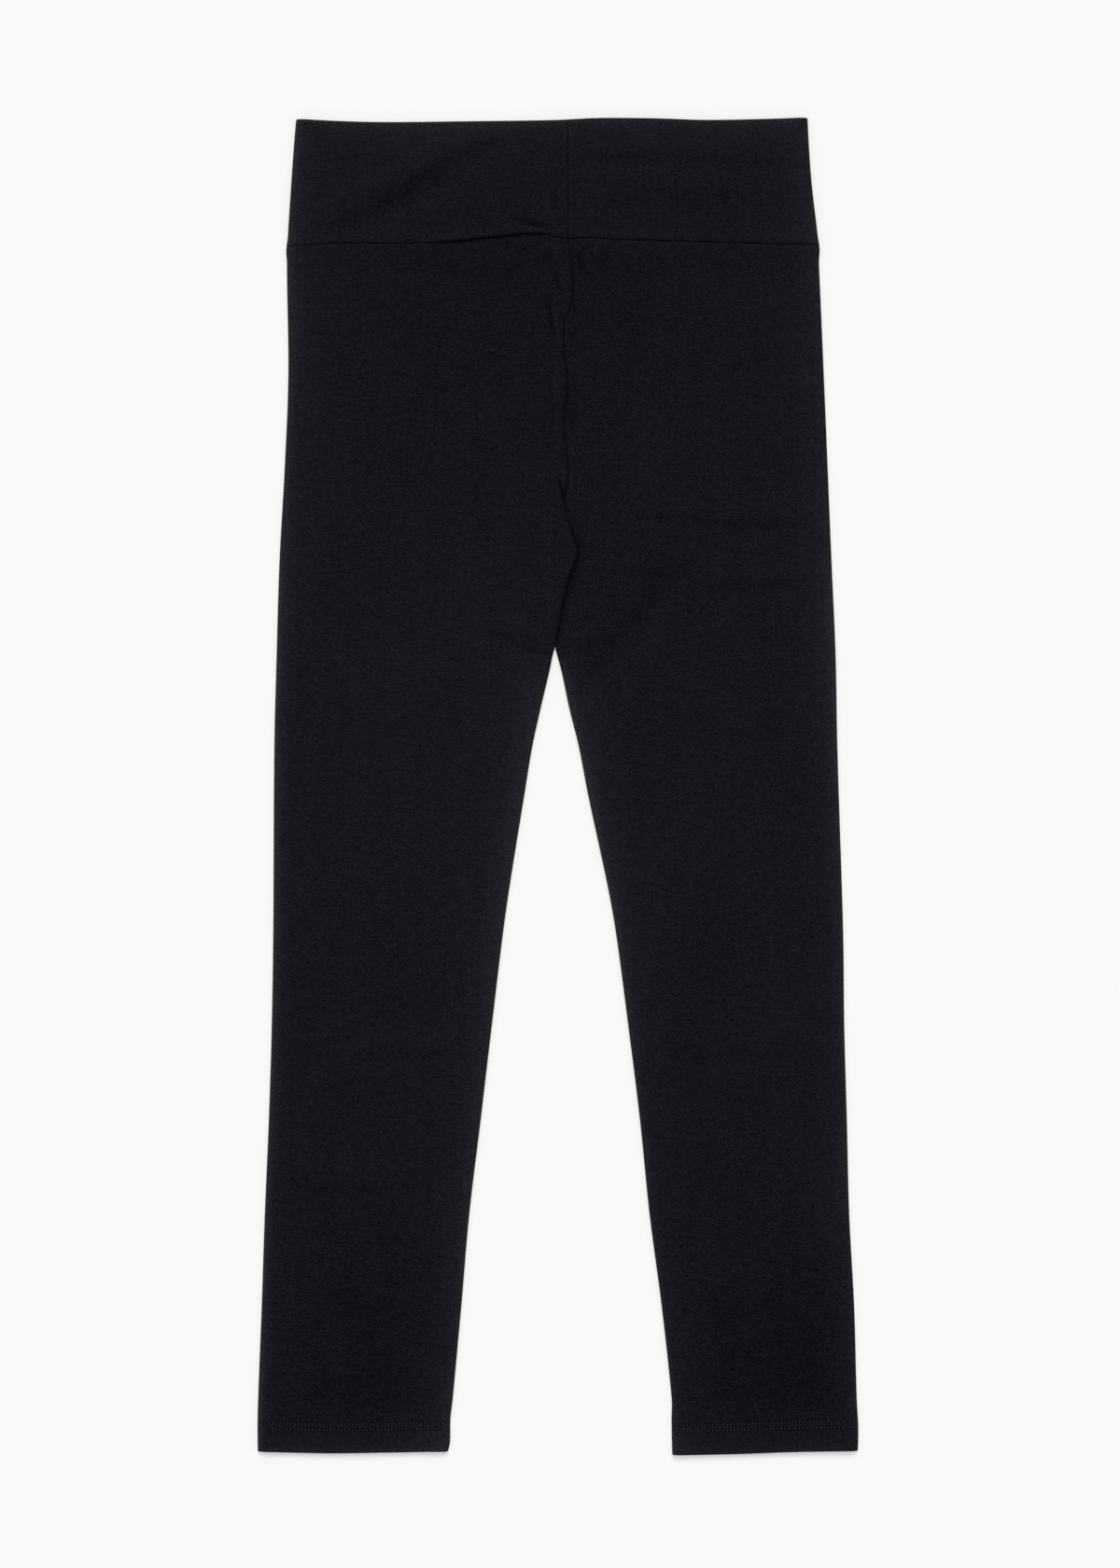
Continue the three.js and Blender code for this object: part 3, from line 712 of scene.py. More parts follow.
deepest = CREASE_STRENGTH * max(-row[-1] for row in LEG_CREASES)
print("deepest pucker beside the centre seam:", round(deepest, 1), "mm")

# %% [markdown]
# The underside lies on the table, so its creases can only lift off it. They are plainer and fewer,
# and hollow upwards into the leg, because nothing of them shows in the photograph.

# %% Creases of the underside
MOST_LIFT = 0.4  # of the underside off the table
UNDERSIDE_CREASES = [
    (-150, 60, -80, 34, 2, 5, 9, 0.3),
    (40, 40, 150, 46, -2, 4, 8, 0.3),
    (-60, 70, -20, 76, 1, 3, 5, 0.25),
    (-14, 130, -8, 168, 1, 2, 3.5, 0.35),
    (16, 120, 22, 150, 1, 2, 3.5, 0.3),
    (24, 300, 70, 290, 2, 4, 7, 0.35),
    (-70, 306, -24, 318, -2, 4, 7, 0.35),
    (-46, 372, -14, 386, 1, 3, 5, 0.35),
    (12, 388, 44, 374, 1, 3, 5, 0.35),
    (-160, 420, -90, 430, 2, 6, 10, 0.3),
    (90, 470, 170, 462, -2, 6, 10, 0.3),
    (-150, 681, -70, 683, 1, 2, 5, 0.35),
    (92, 682, 168, 680, 1, 2, 5, 0.35),
    (-180, 800, -120, 792, 2, 5, 8, 0.25),
    (110, 830, 180, 838, 2, 5, 8, 0.25),
]


def underside_creases(x, down):
    return np.clip(crease_relief(UNDERSIDE_CREASES, x, down), 0, MOST_LIFT)


print("creases drawn on the underside:", len(UNDERSIDE_CREASES))

# %% [markdown]
# ## Seams
# Along a seam two cut edges are turned in and sewn, so the cloth swells over the turned edges and
# then sinks into a narrow dark line. The same rule with other sizes serves the centre seam, both
# sides of the waist seam, the inseam and the rows of hem stitching. A thin black line could be
# painted instead, but it would stay the same from every side, while a real groove shades itself.
# Only the very bottom of a groove also gets painted shade, in the same value as the wear, because
# cloth pressed on cloth lets in less light than so shallow a groove does.

# %% Sizes of the seams, and the groove rule
SEAM_VALUES = ["dip", "dip_reach", "ridge", "ridge_reach", "groove", "groove_reach"]
CENTRE_SEAM = dict(zip(SEAM_VALUES, [0.45, 2.6, 0.75, 10, 1.1, 0.6]))
BAND_CENTRE_SEAM = dict(zip(SEAM_VALUES, [0.2, 2, 0.4, 8, 0.4, 0.5]))
WAIST_SEAM_LEG = dict(zip(SEAM_VALUES, [0.1, 2, 1.7, 26, 0.5, 0.5]))
WAIST_SEAM_BAND = dict(zip(SEAM_VALUES, [0.3, 2.6, 0.5, 12, 0.3, 0.5]))
# The stretch left of the middle where the waistband bulges over its seam
WAIST_LIP = {
    "from": -98, "fade_in": 26, "to": -7, "fade_out": 8,
    "shade_and_dim": 1.5, "sunk_reach": 3, "raised": 0.8, "raised_reach": 7,
}
# How deep and how dark the centre seam is along its length, and how far the dark reaches
CENTRE_SEAM_DEPTH = {
    "down": [0, 92, 108, 122, 140, 180, 190, 212, 224, 260, 280, 320],
    "share": [0.9, 0.5, 0.7, 1.1, 1.1, 1.15, 1.3, 1.3, 1, 1.1, 1.5, 1.6],
    "shade": [0.4, 0.45, 0.6, 0.6, 0.75, 0.95, 1, 1, 0.85, 0.95, 0.97, 0.9],
    "reach": [0.6, 0.6, 0.6, 0.6, 0.6, 0.6, 0.9, 0.9, 0.55, 0.7, 0.8, 0.6],
}
HEM_GROOVE = {"depth": 0.16, "reach": 0.9}
INSEAM = {"from_fold": 5, "depth": 0.5, "reach": 1.1}
BESIDE_A_SEAM = 5  # where the printed depth is measured from


def seam_relief(seam, distance):
    """Rise over the turned edges, soft dip towards the seam, and the narrow groove at the seam itself."""
    rise = seam["ridge"] * (1 - smooth(distance / seam["ridge_reach"]))
    dip = seam["dip"] * (1 - smooth(distance / seam["dip_reach"]))
    return rise - dip - seam["groove"] * bell(distance, seam["groove_reach"])


def lip_share(x):
    """1 where the waistband bulges over its seam, fading to 0 beside that stretch."""
    begun = smooth((x - WAIST_LIP["from"]) / WAIST_LIP["fade_in"])
    return begun * smooth((WAIST_LIP["to"] - x) / WAIST_LIP["fade_out"])


def turned_edge(distance, reach):
    """Share of the wall by which a cut and turned edge rolls in, from 0 away from it to 1 at it."""
    return 1 - quarter_round(distance / reach)


groove_depth = seam_relief(CENTRE_SEAM, BESIDE_A_SEAM) - seam_relief(CENTRE_SEAM, 0)
print("groove at the centre seam:", round(float(groove_depth), 2), "mm deep")

# %% [markdown]
# ## The cloth wall
# Each piece is a closed shell with an outside and an inside face, as real cloth has. At a side fold
# the front layer turns down in a soft quarter round to meet the back layer, and the inside face
# makes the same turn one wall further in. A Solidify modifier could thicken a single sheet, but it
# would pinch in the tight turn under the fold.

# %% Sizes of the wall and its folds
LEG_WALL = 0.8
LEG_LAYER_GAP = 1.5
BAND_WALL = 1.6
BAND_LAYER_GAP = 1.5
LEAST_LAYER_GAP = 0.1
HEM_DEPTH = 18.5
HEM_WALL = 1.5
HEM_LAYER_GAP = 0.8
HEM_STEP = 3
HEM_RELIEF_SHARE = 0.5  # folds stand half as high on the stiffer hem
FOLD_TURN = 6.5  # reach of the quarter round at a side fold, above its tip
UNDER_TURN = 2.2
UNDER_TURN_INSIDE = 1
INSIDE_CREEP = 0.75  # near a fold the inside face takes steps this much shorter than the outside one
OVERLAP_TURN = 1.6  # at the crotch, for the leg on top
TUCKED_TURN = 1.8  # at the crotch, for the leg underneath
LEG_TIP = 1.5  # height of the outermost line of a fold
BAND_TIP = 2.4
CLOSING_LENGTH = 26  # over which the layers come together above the crotch
OPENING_OUT_LENGTH = 30  # over which the legs leave each other below the parting
# Soft swellings and hollows beside a fold, with their middle's distance from it
FOLD_PUFF = {"lift": 1.1, "centre": 6, "spread": 9}
CROTCH_PUFF = {"lift": 1.8, "centre": 4, "spread": 8}
TUCKED_DIP = {"lift": -0.9, "centre": 0, "spread": 8}


def puff(shape, distance):
    return shape["lift"] * bell(distance - shape["centre"], shape["spread"])


print("a leg's two layers and the air between them:", 2 * LEG_WALL + LEG_LAYER_GAP, "mm")

# %% Outside and inside face of the wall
def turned_share(from_outer, from_inner, outer_turn, inner_turn, closure):
    """0 at the tip of a fold and 1 on the flat. The inner edge turns only as far as the leg is closed."""
    inner_share = mix(1, quarter_round(from_inner / inner_turn), closure)
    return quarter_round(from_outer / outer_turn) * inner_share


def wall_points(across, down, sizes):
    """Outside and inside point of the wall for every place of the grid."""
    wall, top, tip, closure = sizes["wall"], sizes["top"], sizes["tip"], sizes["closure"]
    front, inner, outer = across["front"], across["from_inner"], across["from_outer"]
    inner_shift = np.maximum(0, wall + (INSIDE_CREEP - 1) * inner) * np.sqrt(closure * (2 - closure))
    outer_shift = np.maximum(0, wall + (INSIDE_CREEP - 1) * outer)
    inside_x = across["x"] + across["sign"] * (inner_shift - outer_shift)
    outside_share = np.where(
        front,
        turned_share(outer, inner, FOLD_TURN, sizes["inner_turn"], closure),
        turned_share(outer, inner, UNDER_TURN, UNDER_TURN, closure),
    )
    outer = outer + outer_shift - wall
    inner = inner + inner_shift - wall
    inside_share = np.where(
        front,
        turned_share(outer, inner, FOLD_TURN - wall, sizes["inner_turn"], closure),
        turned_share(outer, inner, UNDER_TURN_INSIDE, UNDER_TURN_INSIDE, closure),
    )
    outside_level = np.where(front, top, sizes["lifted"])
    inside_level = np.where(front, top - wall, wall + sizes["lifted"])
    outside = np.stack([across["x"], down, mix(tip, outside_level, outside_share)], axis=-1)
    inside = np.stack([inside_x, down, mix(tip, inside_level, inside_share)], axis=-1)
    return outside, inside


def roll_edges(outside, inside, outer_roll, inner_roll):
    """Brings the two faces together where the edge of the cloth is turned or rounded."""
    moved_out = mix(outside, inside, outer_roll[..., None])
    moved_in = mix(inside, outside, inner_roll[..., None])
    return moved_out, moved_in


print("a fold turns down over", FOLD_TURN, "mm, to", LEG_TIP, "mm above the table")

# %% Closed mesh from the two faces
def shell_faces(rows, columns, closed_from):
    """
    Quads of both faces of the cloth and of the edges that join them, as numbers of grid points. From
    the row closed_from on, the last column is the first again, so the piece is a tube there.
    """
    numbers = np.arange(2 * rows * columns).reshape(2, rows, columns)
    if closed_from < rows:
        numbers[:, closed_from:, -1] = numbers[:, closed_from:, 0]
    out, inn = numbers

    def quads(a, b, c, d):
        return np.stack([a.ravel(), b.ravel(), c.ravel(), d.ravel()], axis=1)

    open_rows = slice(0, min(closed_from, rows - 1))
    below = slice(1, min(closed_from, rows - 1) + 1)
    return np.concatenate([
        quads(out[:-1, :-1], out[1:, :-1], out[1:, 1:], out[:-1, 1:]),
        quads(inn[:-1, 1:], inn[1:, 1:], inn[1:, :-1], inn[:-1, :-1]),
        quads(out[0, :-1], out[0, 1:], inn[0, 1:], inn[0, :-1]),
        quads(out[-1, 1:], out[-1, :-1], inn[-1, :-1], inn[-1, 1:]),
        quads(out[below, 0], out[open_rows, 0], inn[open_rows, 0], inn[below, 0]),
        quads(out[open_rows, -1], out[below, -1], inn[below, -1], inn[open_rows, -1]),
    ])


def volume_inside(points, faces):
    """Volume that quads enclose, below zero where they face inwards."""
    first, second, third, fourth = (points[faces[:, corner]] for corner in range(4))
    return ((first * np.cross(second, third)).sum() + (first * np.cross(third, fourth)).sum()) / 6


def smooth_piece(name, points, faces, material, attribute, values):
    """A smooth-shaded object with one value at each point, for its material to read."""
    mesh = bpy.data.meshes.new(name)
    mesh.from_pydata(points, [], faces)
    mesh.polygons.foreach_set("use_smooth", np.ones(len(faces), bool))
    mesh.attributes.new(attribute, "FLOAT", "POINT").data.foreach_set("value", values.astype(np.float32))
    mesh.materials.append(material)
    mesh.update()
    piece = bpy.data.objects.new(name, mesh)
    scene.collection.objects.link(piece)
    return piece


def closed_piece(name, outside, inside, closed_from, painted_light_and_wear, material):
    """Builds one piece from the two faces of its cloth, with all its quads facing outwards."""
    rows, columns = outside.shape[:2]
    used, faces = np.unique(shell_faces(rows, columns, closed_from), return_inverse=True)
    faces = faces.reshape(-1, 4)
    points = np.concatenate([outside.reshape(-1, 3), inside.reshape(-1, 3)])[used]
    points = np.stack([points[:, 0], GARMENT_LENGTH / 2 - points[:, 1], points[:, 2]], axis=1) * MM
    volume = volume_inside(points, faces)
    if volume < 0:
        faces = faces[:, ::-1]
    print(name, "faces:", len(faces), "cloth volume, ml:", round(abs(volume) * 1e6))
    values = np.concatenate([painted_light_and_wear.ravel(), painted_light_and_wear.ravel()])[used]
    return smooth_piece(name, points.tolist(), faces.tolist(), material, "painted_light_and_wear", values)

# %% [markdown]
# ## Wear, and painted light and shade
# The dye is painted a little paler along the folds, partly where the cloth rubs and partly as painted
# light where it turns away. Soft patches paint light on the front of the thighs and painted shade
# near the ankles and just below the waist seam. Each soft patch is a row of a table: where it is,
# how far it reaches, and how much paler it is. Painted shade darkens the bottoms of the seams, the
# line where the legs touch and the grooves of the hem stitching, and creases get painted shade in
# their hollows and painted light on their ridges. A painted map could hold all this, but a number at
# each point of the mesh is enough for such soft changes, and the material reads it from there.

# %% Patches of painted light and shade
PATCH_COLUMNS = ["x", "down", "reach_x", "reach_down", "paler"]
LIGHT_AND_SHADE_PATCHES = [
    # Painted light: thighs, knees and the left calf's side
    (-110, 470, 120, 130, 0.16),
    (110, 480, 110, 130, 0.08),
    (-55, 380, 40, 60, 0.16),
    (-150, 104, 70, 14, 0.09),
    (76, 237, 26, 34, 0.07),
    (-49, 206, 6, 26, 0.07),
    (84, 535, 34, 26, 0.07),
    (-112, 680, 60, 22, 0.1),
    (-110, 14, 80, 16, 0.12),
    (135, 14, 70, 14, 0.07),
    (-100, 93, 60, 10, 0.11),
    (-138, 78, 30, 12, 0.06),
    (70, 95, 60, 9, 0.09),
    (-138, 405, 30, 30, 0.08),
    (-66, 335, 20, 22, 0.08),
    (84, 885, 12, 34, 0.12),
    (-92, 956, 22, 12, 0.1),
    (-80, 935, 8, 20, 0.12),
    (192, 415, 22, 45, 0.1),
    (165, 638, 35, 40, 0.14),
    (196, 775, 20, 42, 0.19),
    # Painted shade: below the waist seam, beside the seams and near the ankles
    (-20, 160, 150, 80, -0.13),
    (-30, 110, 80, 18, -0.08),
    (34, 143, 18, 20, -0.08),
    (70, 345, 40, 40, -0.08),
    (59, 465, 25, 42, -0.1),
    (112, 607, 18, 38, -0.12),
    (-113, 624, 16, 26, -0.1),
    (-120, 885, 90, 80, -0.27),
    (150, 890, 80, 80, -0.28),
    (190, 895, 28, 40, -0.08),
    (-140, 928, 70, 14, -0.1),
    (150, 926, 80, 14, -0.14),
    (80, 700, 22, 80, -0.06),
    (112, 745, 20, 34, -0.08),
    (211, 705, 8, 30, -0.12),
    (-194, 225, 10, 40, -0.12),
    (-178, 50, 14, 26, -0.06),
    (172, 50, 14, 26, -0.07),
]
# How much paler each fold is painted down its length, and how much more so right at its tip:
# partly rubbed dye, partly painted light where the cloth turns away
FOLD_GLOW_AND_WEAR = {
    "down": [0, 100, 250, 400, 560, 700, 820, 971],
    "tight": [1.5, 1.25, 1.15, 1.7, 2, 2.1, 2.1, 2],
    "right_outer": [0.96, 1.02, 1.02, 1.12, 1, 0.9, 0.75, 0.9],
    "left_outer": [0.9, 0.95, 0.85, 1.38, 1, 1, 0.75, 0.7],
    "right_inner": [0, 0, 0, 1.05, 1.12, 1, 1, 1],
    "left_inner": [0, 0, 0, 1, 1.05, 0.65, 0.55, 0.6],
}
print("patches of wear:", len(LIGHT_AND_SHADE_PATCHES))

# %% Rules of wear and of painted light and shade
FOLD_REACH = {"waist": 15, "knee": 9, "from": 250, "over": 200}  # it narrows from the hip to the knee
FOLD_GLOW = 1.1
FOLD_TIGHT_REACH = 2
# Creases are painted darker in their hollows and paler on their ridges, as painted shade and painted light
CREASE_PAINTED_SHADING = 0.75  # per millimetre of a narrow crease's height
SEAM_SHADE = {"waist": 0.4, "lip": 0.75, "reach": 0.6}
STITCH_SHADE = {"darker": 0.4, "reach": 1.3}
CROTCH_SHADE = {"from": 272, "over": 20, "darker": 0.9, "reach": 0.75}
TUCKED_SHADE = {"until": 336, "over": 30, "darker": 0.22, "reach": 6.5}


def fold_glow_and_wear(edge, distance, reach, down):
    """How much paler the cloth is painted at a distance from a fold, named by its leg and side: partly
    rubbed dye, partly painted light.
    """
    distance = np.clip(distance, 0, None)
    tight = read_table(FOLD_GLOW_AND_WEAR, "down", down, "tight") * np.exp(-distance / FOLD_TIGHT_REACH)
    return read_table(FOLD_GLOW_AND_WEAR, "down", down, edge) * (FOLD_GLOW * np.exp(-distance / reach) + tight)


# Painted light and shade of the soft patches
def painted_light_and_shade_patches(x, down):
    total = np.zeros_like(x, dtype=float)
    for row in LIGHT_AND_SHADE_PATCHES:
        patch = dict(zip(PATCH_COLUMNS, row))
        aside = (x - patch["x"]) / patch["reach_x"]
        below = (down - patch["down"]) / patch["reach_down"]
        total += patch["paler"] * np.exp(-(aside**2 + below**2))
    return total


def painted_light_and_wear_at(side, x, down, from_outer, shade):
    """Factor on the dye's paleness: wear and painted light near the side fold, painted light on ridges,
    painted shade in hollows, and the painted light and shade of the patches.
    """
    to_the_knee = smooth((down - FOLD_REACH["from"]) / FOLD_REACH["over"])
    reach = mix(FOLD_REACH["waist"], FOLD_REACH["knee"], to_the_knee)
    painted_light_and_wear = 1 + fold_glow_and_wear(f"{side}_outer", from_outer, reach, down)
    return painted_light_and_wear + painted_light_and_shade_patches(x, down) + CREASE_PAINTED_SHADING * shade


def seam_shade(x, down, from_waist_seam, from_centre_seam):
    """Painted shade: how much darker the cloth is painted right at the seams, where cloth presses on cloth.
    """
    waist = mix(SEAM_SHADE["waist"], SEAM_SHADE["lip"], lip_share(x))
    centre = read_table(CENTRE_SEAM_DEPTH, "down", down, "shade")
    centre_reach = read_table(CENTRE_SEAM_DEPTH, "down", down, "reach")
    at_waist = waist * bell(from_waist_seam, SEAM_SHADE["reach"])
    return np.maximum(at_waist, centre * bell(from_centre_seam, centre_reach))


def stitch_shade(from_hem, reaches):
    """Painted shade: how much darker the cloth is painted in the grooves of the hem stitching."""
    near_rows = sum(bell(from_hem - reach, STITCH_SHADE["reach"]) for reach in reaches)
    return STITCH_SHADE["darker"] * near_rows


def crotch_shade(side, from_inner, down):
    """Painted shade where the legs lie on each other, and the painted shadow of the upper leg beside that
    on the leg underneath.
    """
    shade = CROTCH_SHADE["darker"] * bell(from_inner, CROTCH_SHADE["reach"])
    if side == "left":
        above = 1 - smooth((down - TUCKED_SHADE["until"]) / TUCKED_SHADE["over"])
        shade = shade + TUCKED_SHADE["darker"] * above * bell(from_inner, TUCKED_SHADE["reach"])
    return smooth((down - CROTCH_SHADE["from"]) / CROTCH_SHADE["over"]) * shade


thigh_fold = fold_glow_and_wear("left_outer", 0, FOLD_REACH["knee"], PARTING_DOWN)
print("the fold of the left thigh is paler by a factor of", round(1 + float(thigh_fold), 2))

# %% [markdown]
# ## The legs
# Each leg is one panel with no side seam. It wraps from the centre front seam round the side to the
# centre back seam, and below the crotch its two long edges join in the inseam, so that it becomes a
# tube. The grid does the same: open at the centre seam above the crotch, closed below it. The hem
# is turned up and makes the wall thicker.

# %% Rows of a leg
SEAM_LEVEL = 90
HEM_LEVEL = 970
NEAR_SEAM = [0, 0.2, 0.5, 0.9, 1.4, 2, 2.8, 3.8, 5, 6.5, 8.2, 10, 12]
RISE_ROWS = np.linspace(104, 312.5, 104)
CROTCH_ROWS = np.linspace(316.5, 392, 38)
LONG_ROWS = np.linspace(395, 940, 156)
NEAR_HEM = [
    27, 24.8, 23.4, 22.4, 21.9, 21.4, 20.9, 20.4, 19.9, 19.4, 18.6, 17.9, 17.4, 17, 16.6, 16.1, 15.4,
    14, 12, 9.8, 7.6, 5.6, 4, 2.8, 1.9, 1.2, 0.7, 0.3, 0.1, 0,
]
LEVEL_AGAIN = {"below_seam": 12, "over": 110}  # where rows no longer follow the seam's line
TOWARDS_HEM = {"from": 790, "over": 140}  # where they begin to follow the hem's
leg_levels = [SEAM_LEVEL + reach for reach in NEAR_SEAM]
leg_levels += [*RISE_ROWS, CROTCH_DOWN, *CROTCH_ROWS, *LONG_ROWS]
leg_levels += [HEM_LEVEL - reach for reach in NEAR_HEM]


def leg_row(level, x, front):
    """Rows follow the waist seam near the top and the hem near the bottom, and are level in between."""
    below_seam = level - SEAM_LEVEL - LEVEL_AGAIN["below_seam"]
    beside_seam = 1 - smooth(below_seam / LEVEL_AGAIN["over"])
    beside_hem = smooth((level - TOWARDS_HEM["from"]) / TOWARDS_HEM["over"])
    down = level + beside_seam * (edge_at(WAIST_SEAM, x, front) - SEAM_LEVEL)
    return down + beside_hem * (edge_at(HEM_EDGE, x, front) - HEM_LEVEL)


print("rows down a leg:", len(leg_levels))

# %% Height of a leg's two faces
STITCH_ROWS = {"right": [20.8, 16.9], "left": [21.55, 17.35]}  # above the hem's edge
OVER_BAND = {"below_seam": 6, "over": 5}  # where the front rests on the thicker back waistband


def leg_relief(side, across, down, from_seam, closure, beside_crotch):
    """Folds, seams and creases of a leg's front face, in mm above its flat height."""
    x = across["x"]
    relief = puff(FOLD_PUFF, across["from_outer"])
    relief += closure * (1 - beside_crotch) * puff(FOLD_PUFF, across["from_inner"])
    crotch_shape = CROTCH_PUFF if side == "right" else TUCKED_DIP
    relief += beside_crotch * puff(crotch_shape, across["from_inner"])
    seam_depth = read_table(CENTRE_SEAM_DEPTH, "down", down, "share")
    relief += (1 - closure) * seam_depth * seam_relief(CENTRE_SEAM, across["from_inner"])
    relief += seam_relief(WAIST_SEAM_LEG, from_seam)
    relief -= WAIST_LIP["shade_and_dim"] * lip_share(x) * (1 - smooth(from_seam / WAIST_LIP["sunk_reach"]))
    return relief + CREASE_STRENGTH * crease_relief(LEG_CREASES, x, down)


def underside_lift(side, across, down, from_hem, closure):
    """How far the underside is off the table: in creases, along the inseam and at the hem stitching."""
    lift = underside_creases(across["x"], down)
    from_inseam = across["from_inner"] - INSEAM["from_fold"]
    lift = lift + closure * INSEAM["depth"] * bell(from_inseam, INSEAM["reach"])
    for reach in STITCH_ROWS[side]:
        lift = lift + HEM_GROOVE["depth"] * bell(from_hem - reach, HEM_GROOVE["reach"])
    return lift


def leg_sizes(side, across, down):
    """Wall and heights of a leg at every place of the grid."""
    x, front = across["x"], across["front"]
    from_hem = edge_at(HEM_EDGE, x, front) - down
    from_seam = down - edge_at(WAIST_SEAM, x, front)
    hem_share = smooth((HEM_DEPTH + HEM_STEP - from_hem) / HEM_STEP)
    wall = mix(LEG_WALL, HEM_WALL, hem_share)
    closure = smooth((down - CROTCH_DOWN + CLOSING_LENGTH) / CLOSING_LENGTH)
    beside_crotch = smooth((PARTING_DOWN + OPENING_OUT_LENGTH - down) / OPENING_OUT_LENGTH) * closure
    crotch_turn = OVERLAP_TURN if side == "right" else TUCKED_TURN
    relief = leg_relief(side, across, down, from_seam, closure, beside_crotch)
    for reach in STITCH_ROWS[side]:
        relief -= HEM_GROOVE["depth"] / HEM_RELIEF_SHARE * bell(from_hem - reach, HEM_GROOVE["reach"])
    flat_top = 2 * wall + mix(LEG_LAYER_GAP, HEM_LAYER_GAP, hem_share)
    above_band_edge = edge_at(WAIST_SEAM, x, False) + OVER_BAND["below_seam"] - down
    lowest = wall + mix(wall, BAND_WALL, smooth(above_band_edge / OVER_BAND["over"])) + LEAST_LAYER_GAP
    return {
        "wall": wall,
        "top": np.maximum(flat_top + relief * mix(1, HEM_RELIEF_SHARE, hem_share), lowest),
        "tip": LEG_TIP,
        "closure": closure,
        "inner_turn": mix(FOLD_TURN - wall, crotch_turn, beside_crotch),
        "from_seam": from_seam,
        "from_hem": from_hem,
        "shade": crease_relief(LEG_CREASES, x, down, sharpness=1),
        "lifted": underside_lift(side, across, down, from_hem, closure),
    }


print("hem stitches above the edge, mm:", STITCH_ROWS)

# %% Build both legs
LEG_ROLL = {"centre": 0.8, "waist": 0.6, "hem": 0.9}  # reach of each turned edge
ROLL_SHARES = {"outside": 0.7, "inside": 0.26}  # of the wall, for an edge that is sewn to another
HEM_ROLL_SHARES = {"outside": 0.5, "inside": 0.46}
ROLL_FADE = 3  # the centre edges no longer roll in where the leg is closed by a third
PAST_PARTING = {"above": 8, "over": 46}  # where the inner fold begins to be painted paler, as wear and painted light
IN_THE_CROTCH = {"above": 6, "over": 6}  # where the painted shade at the crotch ends
HEM_FOLD_START = 2  # the hem's edge takes wear and painted light as a side fold does this far in from its tip
OUT_OF_REACH = 60  # keeps the centre seam's painted shade off the inner folds


def lit_and_worn_leg(side, across, down, sizes):
    """The leg's wear and painted light, less the painted shade of its seams, its crotch and its stitch
    grooves.
    """
    past_parting = smooth((down - PARTING_DOWN + PAST_PARTING["above"]) / PAST_PARTING["over"])
    in_crotch = 1 - smooth((down - PARTING_DOWN + IN_THE_CROTCH["above"]) / IN_THE_CROTCH["over"])
    from_fold = np.minimum(across["from_outer"], sizes["from_hem"] + HEM_FOLD_START)
    painted_light_and_wear = painted_light_and_wear_at(side, across["x"], down, from_fold, sizes["shade"])
    painted_light_and_wear += past_parting * fold_glow_and_wear(f"{side}_inner", across["from_inner"], FOLD_REACH["waist"], down)
    from_centre_seam = across["from_inner"] + OUT_OF_REACH * (1 - in_crotch)
    painted_light_and_wear -= seam_shade(across["x"], down, sizes["from_seam"], from_centre_seam)
    painted_light_and_wear -= crotch_shade(side, across["from_inner"], down) * in_crotch
    return painted_light_and_wear - stitch_shade(sizes["from_hem"], STITCH_ROWS[side])


def build_leg(side):
    """Settles the grid, thickens it, rolls its cut edges in, and gives it its wear and painted light and
    shade.
    """
    down, across = settle_rows(side, leg_levels, leg_row)
    sizes = leg_sizes(side, across, down)
    outside, inside = wall_points(across, down, sizes)
    open_share = 1 - smooth(ROLL_FADE * sizes["closure"])
    centre_roll = open_share * turned_edge(across["from_inner"], LEG_ROLL["centre"])
    seam_roll = turned_edge(sizes["from_seam"], LEG_ROLL["waist"])
    hem_roll = turned_edge(sizes["from_hem"], LEG_ROLL["hem"])
    rolled = 1 - (1 - centre_roll) * (1 - seam_roll)
    outer_roll = np.maximum(ROLL_SHARES["outside"] * rolled, HEM_ROLL_SHARES["outside"] * hem_roll)
    inner_roll = np.maximum(ROLL_SHARES["inside"] * rolled, HEM_ROLL_SHARES["inside"] * hem_roll)
    outside, inside = roll_edges(outside, inside, outer_roll, inner_roll)
    painted_light_and_wear = lit_and_worn_leg(side, across, down, sizes)
    closed_from = leg_levels.index(CROTCH_DOWN)
    return closed_piece(f"{side}_leg_cloth", outside, inside, closed_from, painted_light_and_wear, leg_jersey)


right_leg_cloth = build_leg("right")
left_leg_cloth = build_leg("left")

# %% [markdown]
# ## The waistband
# The waistband is a deep strip of the same jersey, folded double along the top edge and sewn to the
# legs at its lower edge. It is made of two halves, joined at the centre front and centre back, as
# the seam there shows. Being double it is thicker, turns over at the sides in a rounder fold, and
# hangs slightly over the waist seam.

# %% Rows of the waistband
BAND_NEAR_TOP = [0, 0.12, 0.35, 0.7, 1.1, 1.7, 2.6, 4, 6]
BAND_NEAR_SEAM = [12, 10, 8.4, 7, 5.8, 4.8, 3.9, 3.1, 2.4, 1.8, 1.3, 0.9, 0.55, 0.25, 0]
BAND_MIDDLE = np.linspace(8, 76, 40)
BAND_LEVEL = 90
TOWARDS_SEAM = {"from": 8, "over": 66}  # where rows begin to follow the lower edge
band_levels = BAND_NEAR_TOP + [*BAND_MIDDLE] + [BAND_LEVEL - reach for reach in BAND_NEAR_SEAM]


def band_row(level, x, front):
    """Rows keep their distance from the nearer of the two edges."""
    top = edge_at(WAIST_EDGE, x, front)
    bottom = edge_at(WAIST_SEAM, x, front)
    near_bottom = smooth((level - TOWARDS_SEAM["from"]) / TOWARDS_SEAM["over"])
    return mix(top + level, bottom - (BAND_LEVEL - level), near_bottom)


print("rows down the waistband:", len(band_levels))

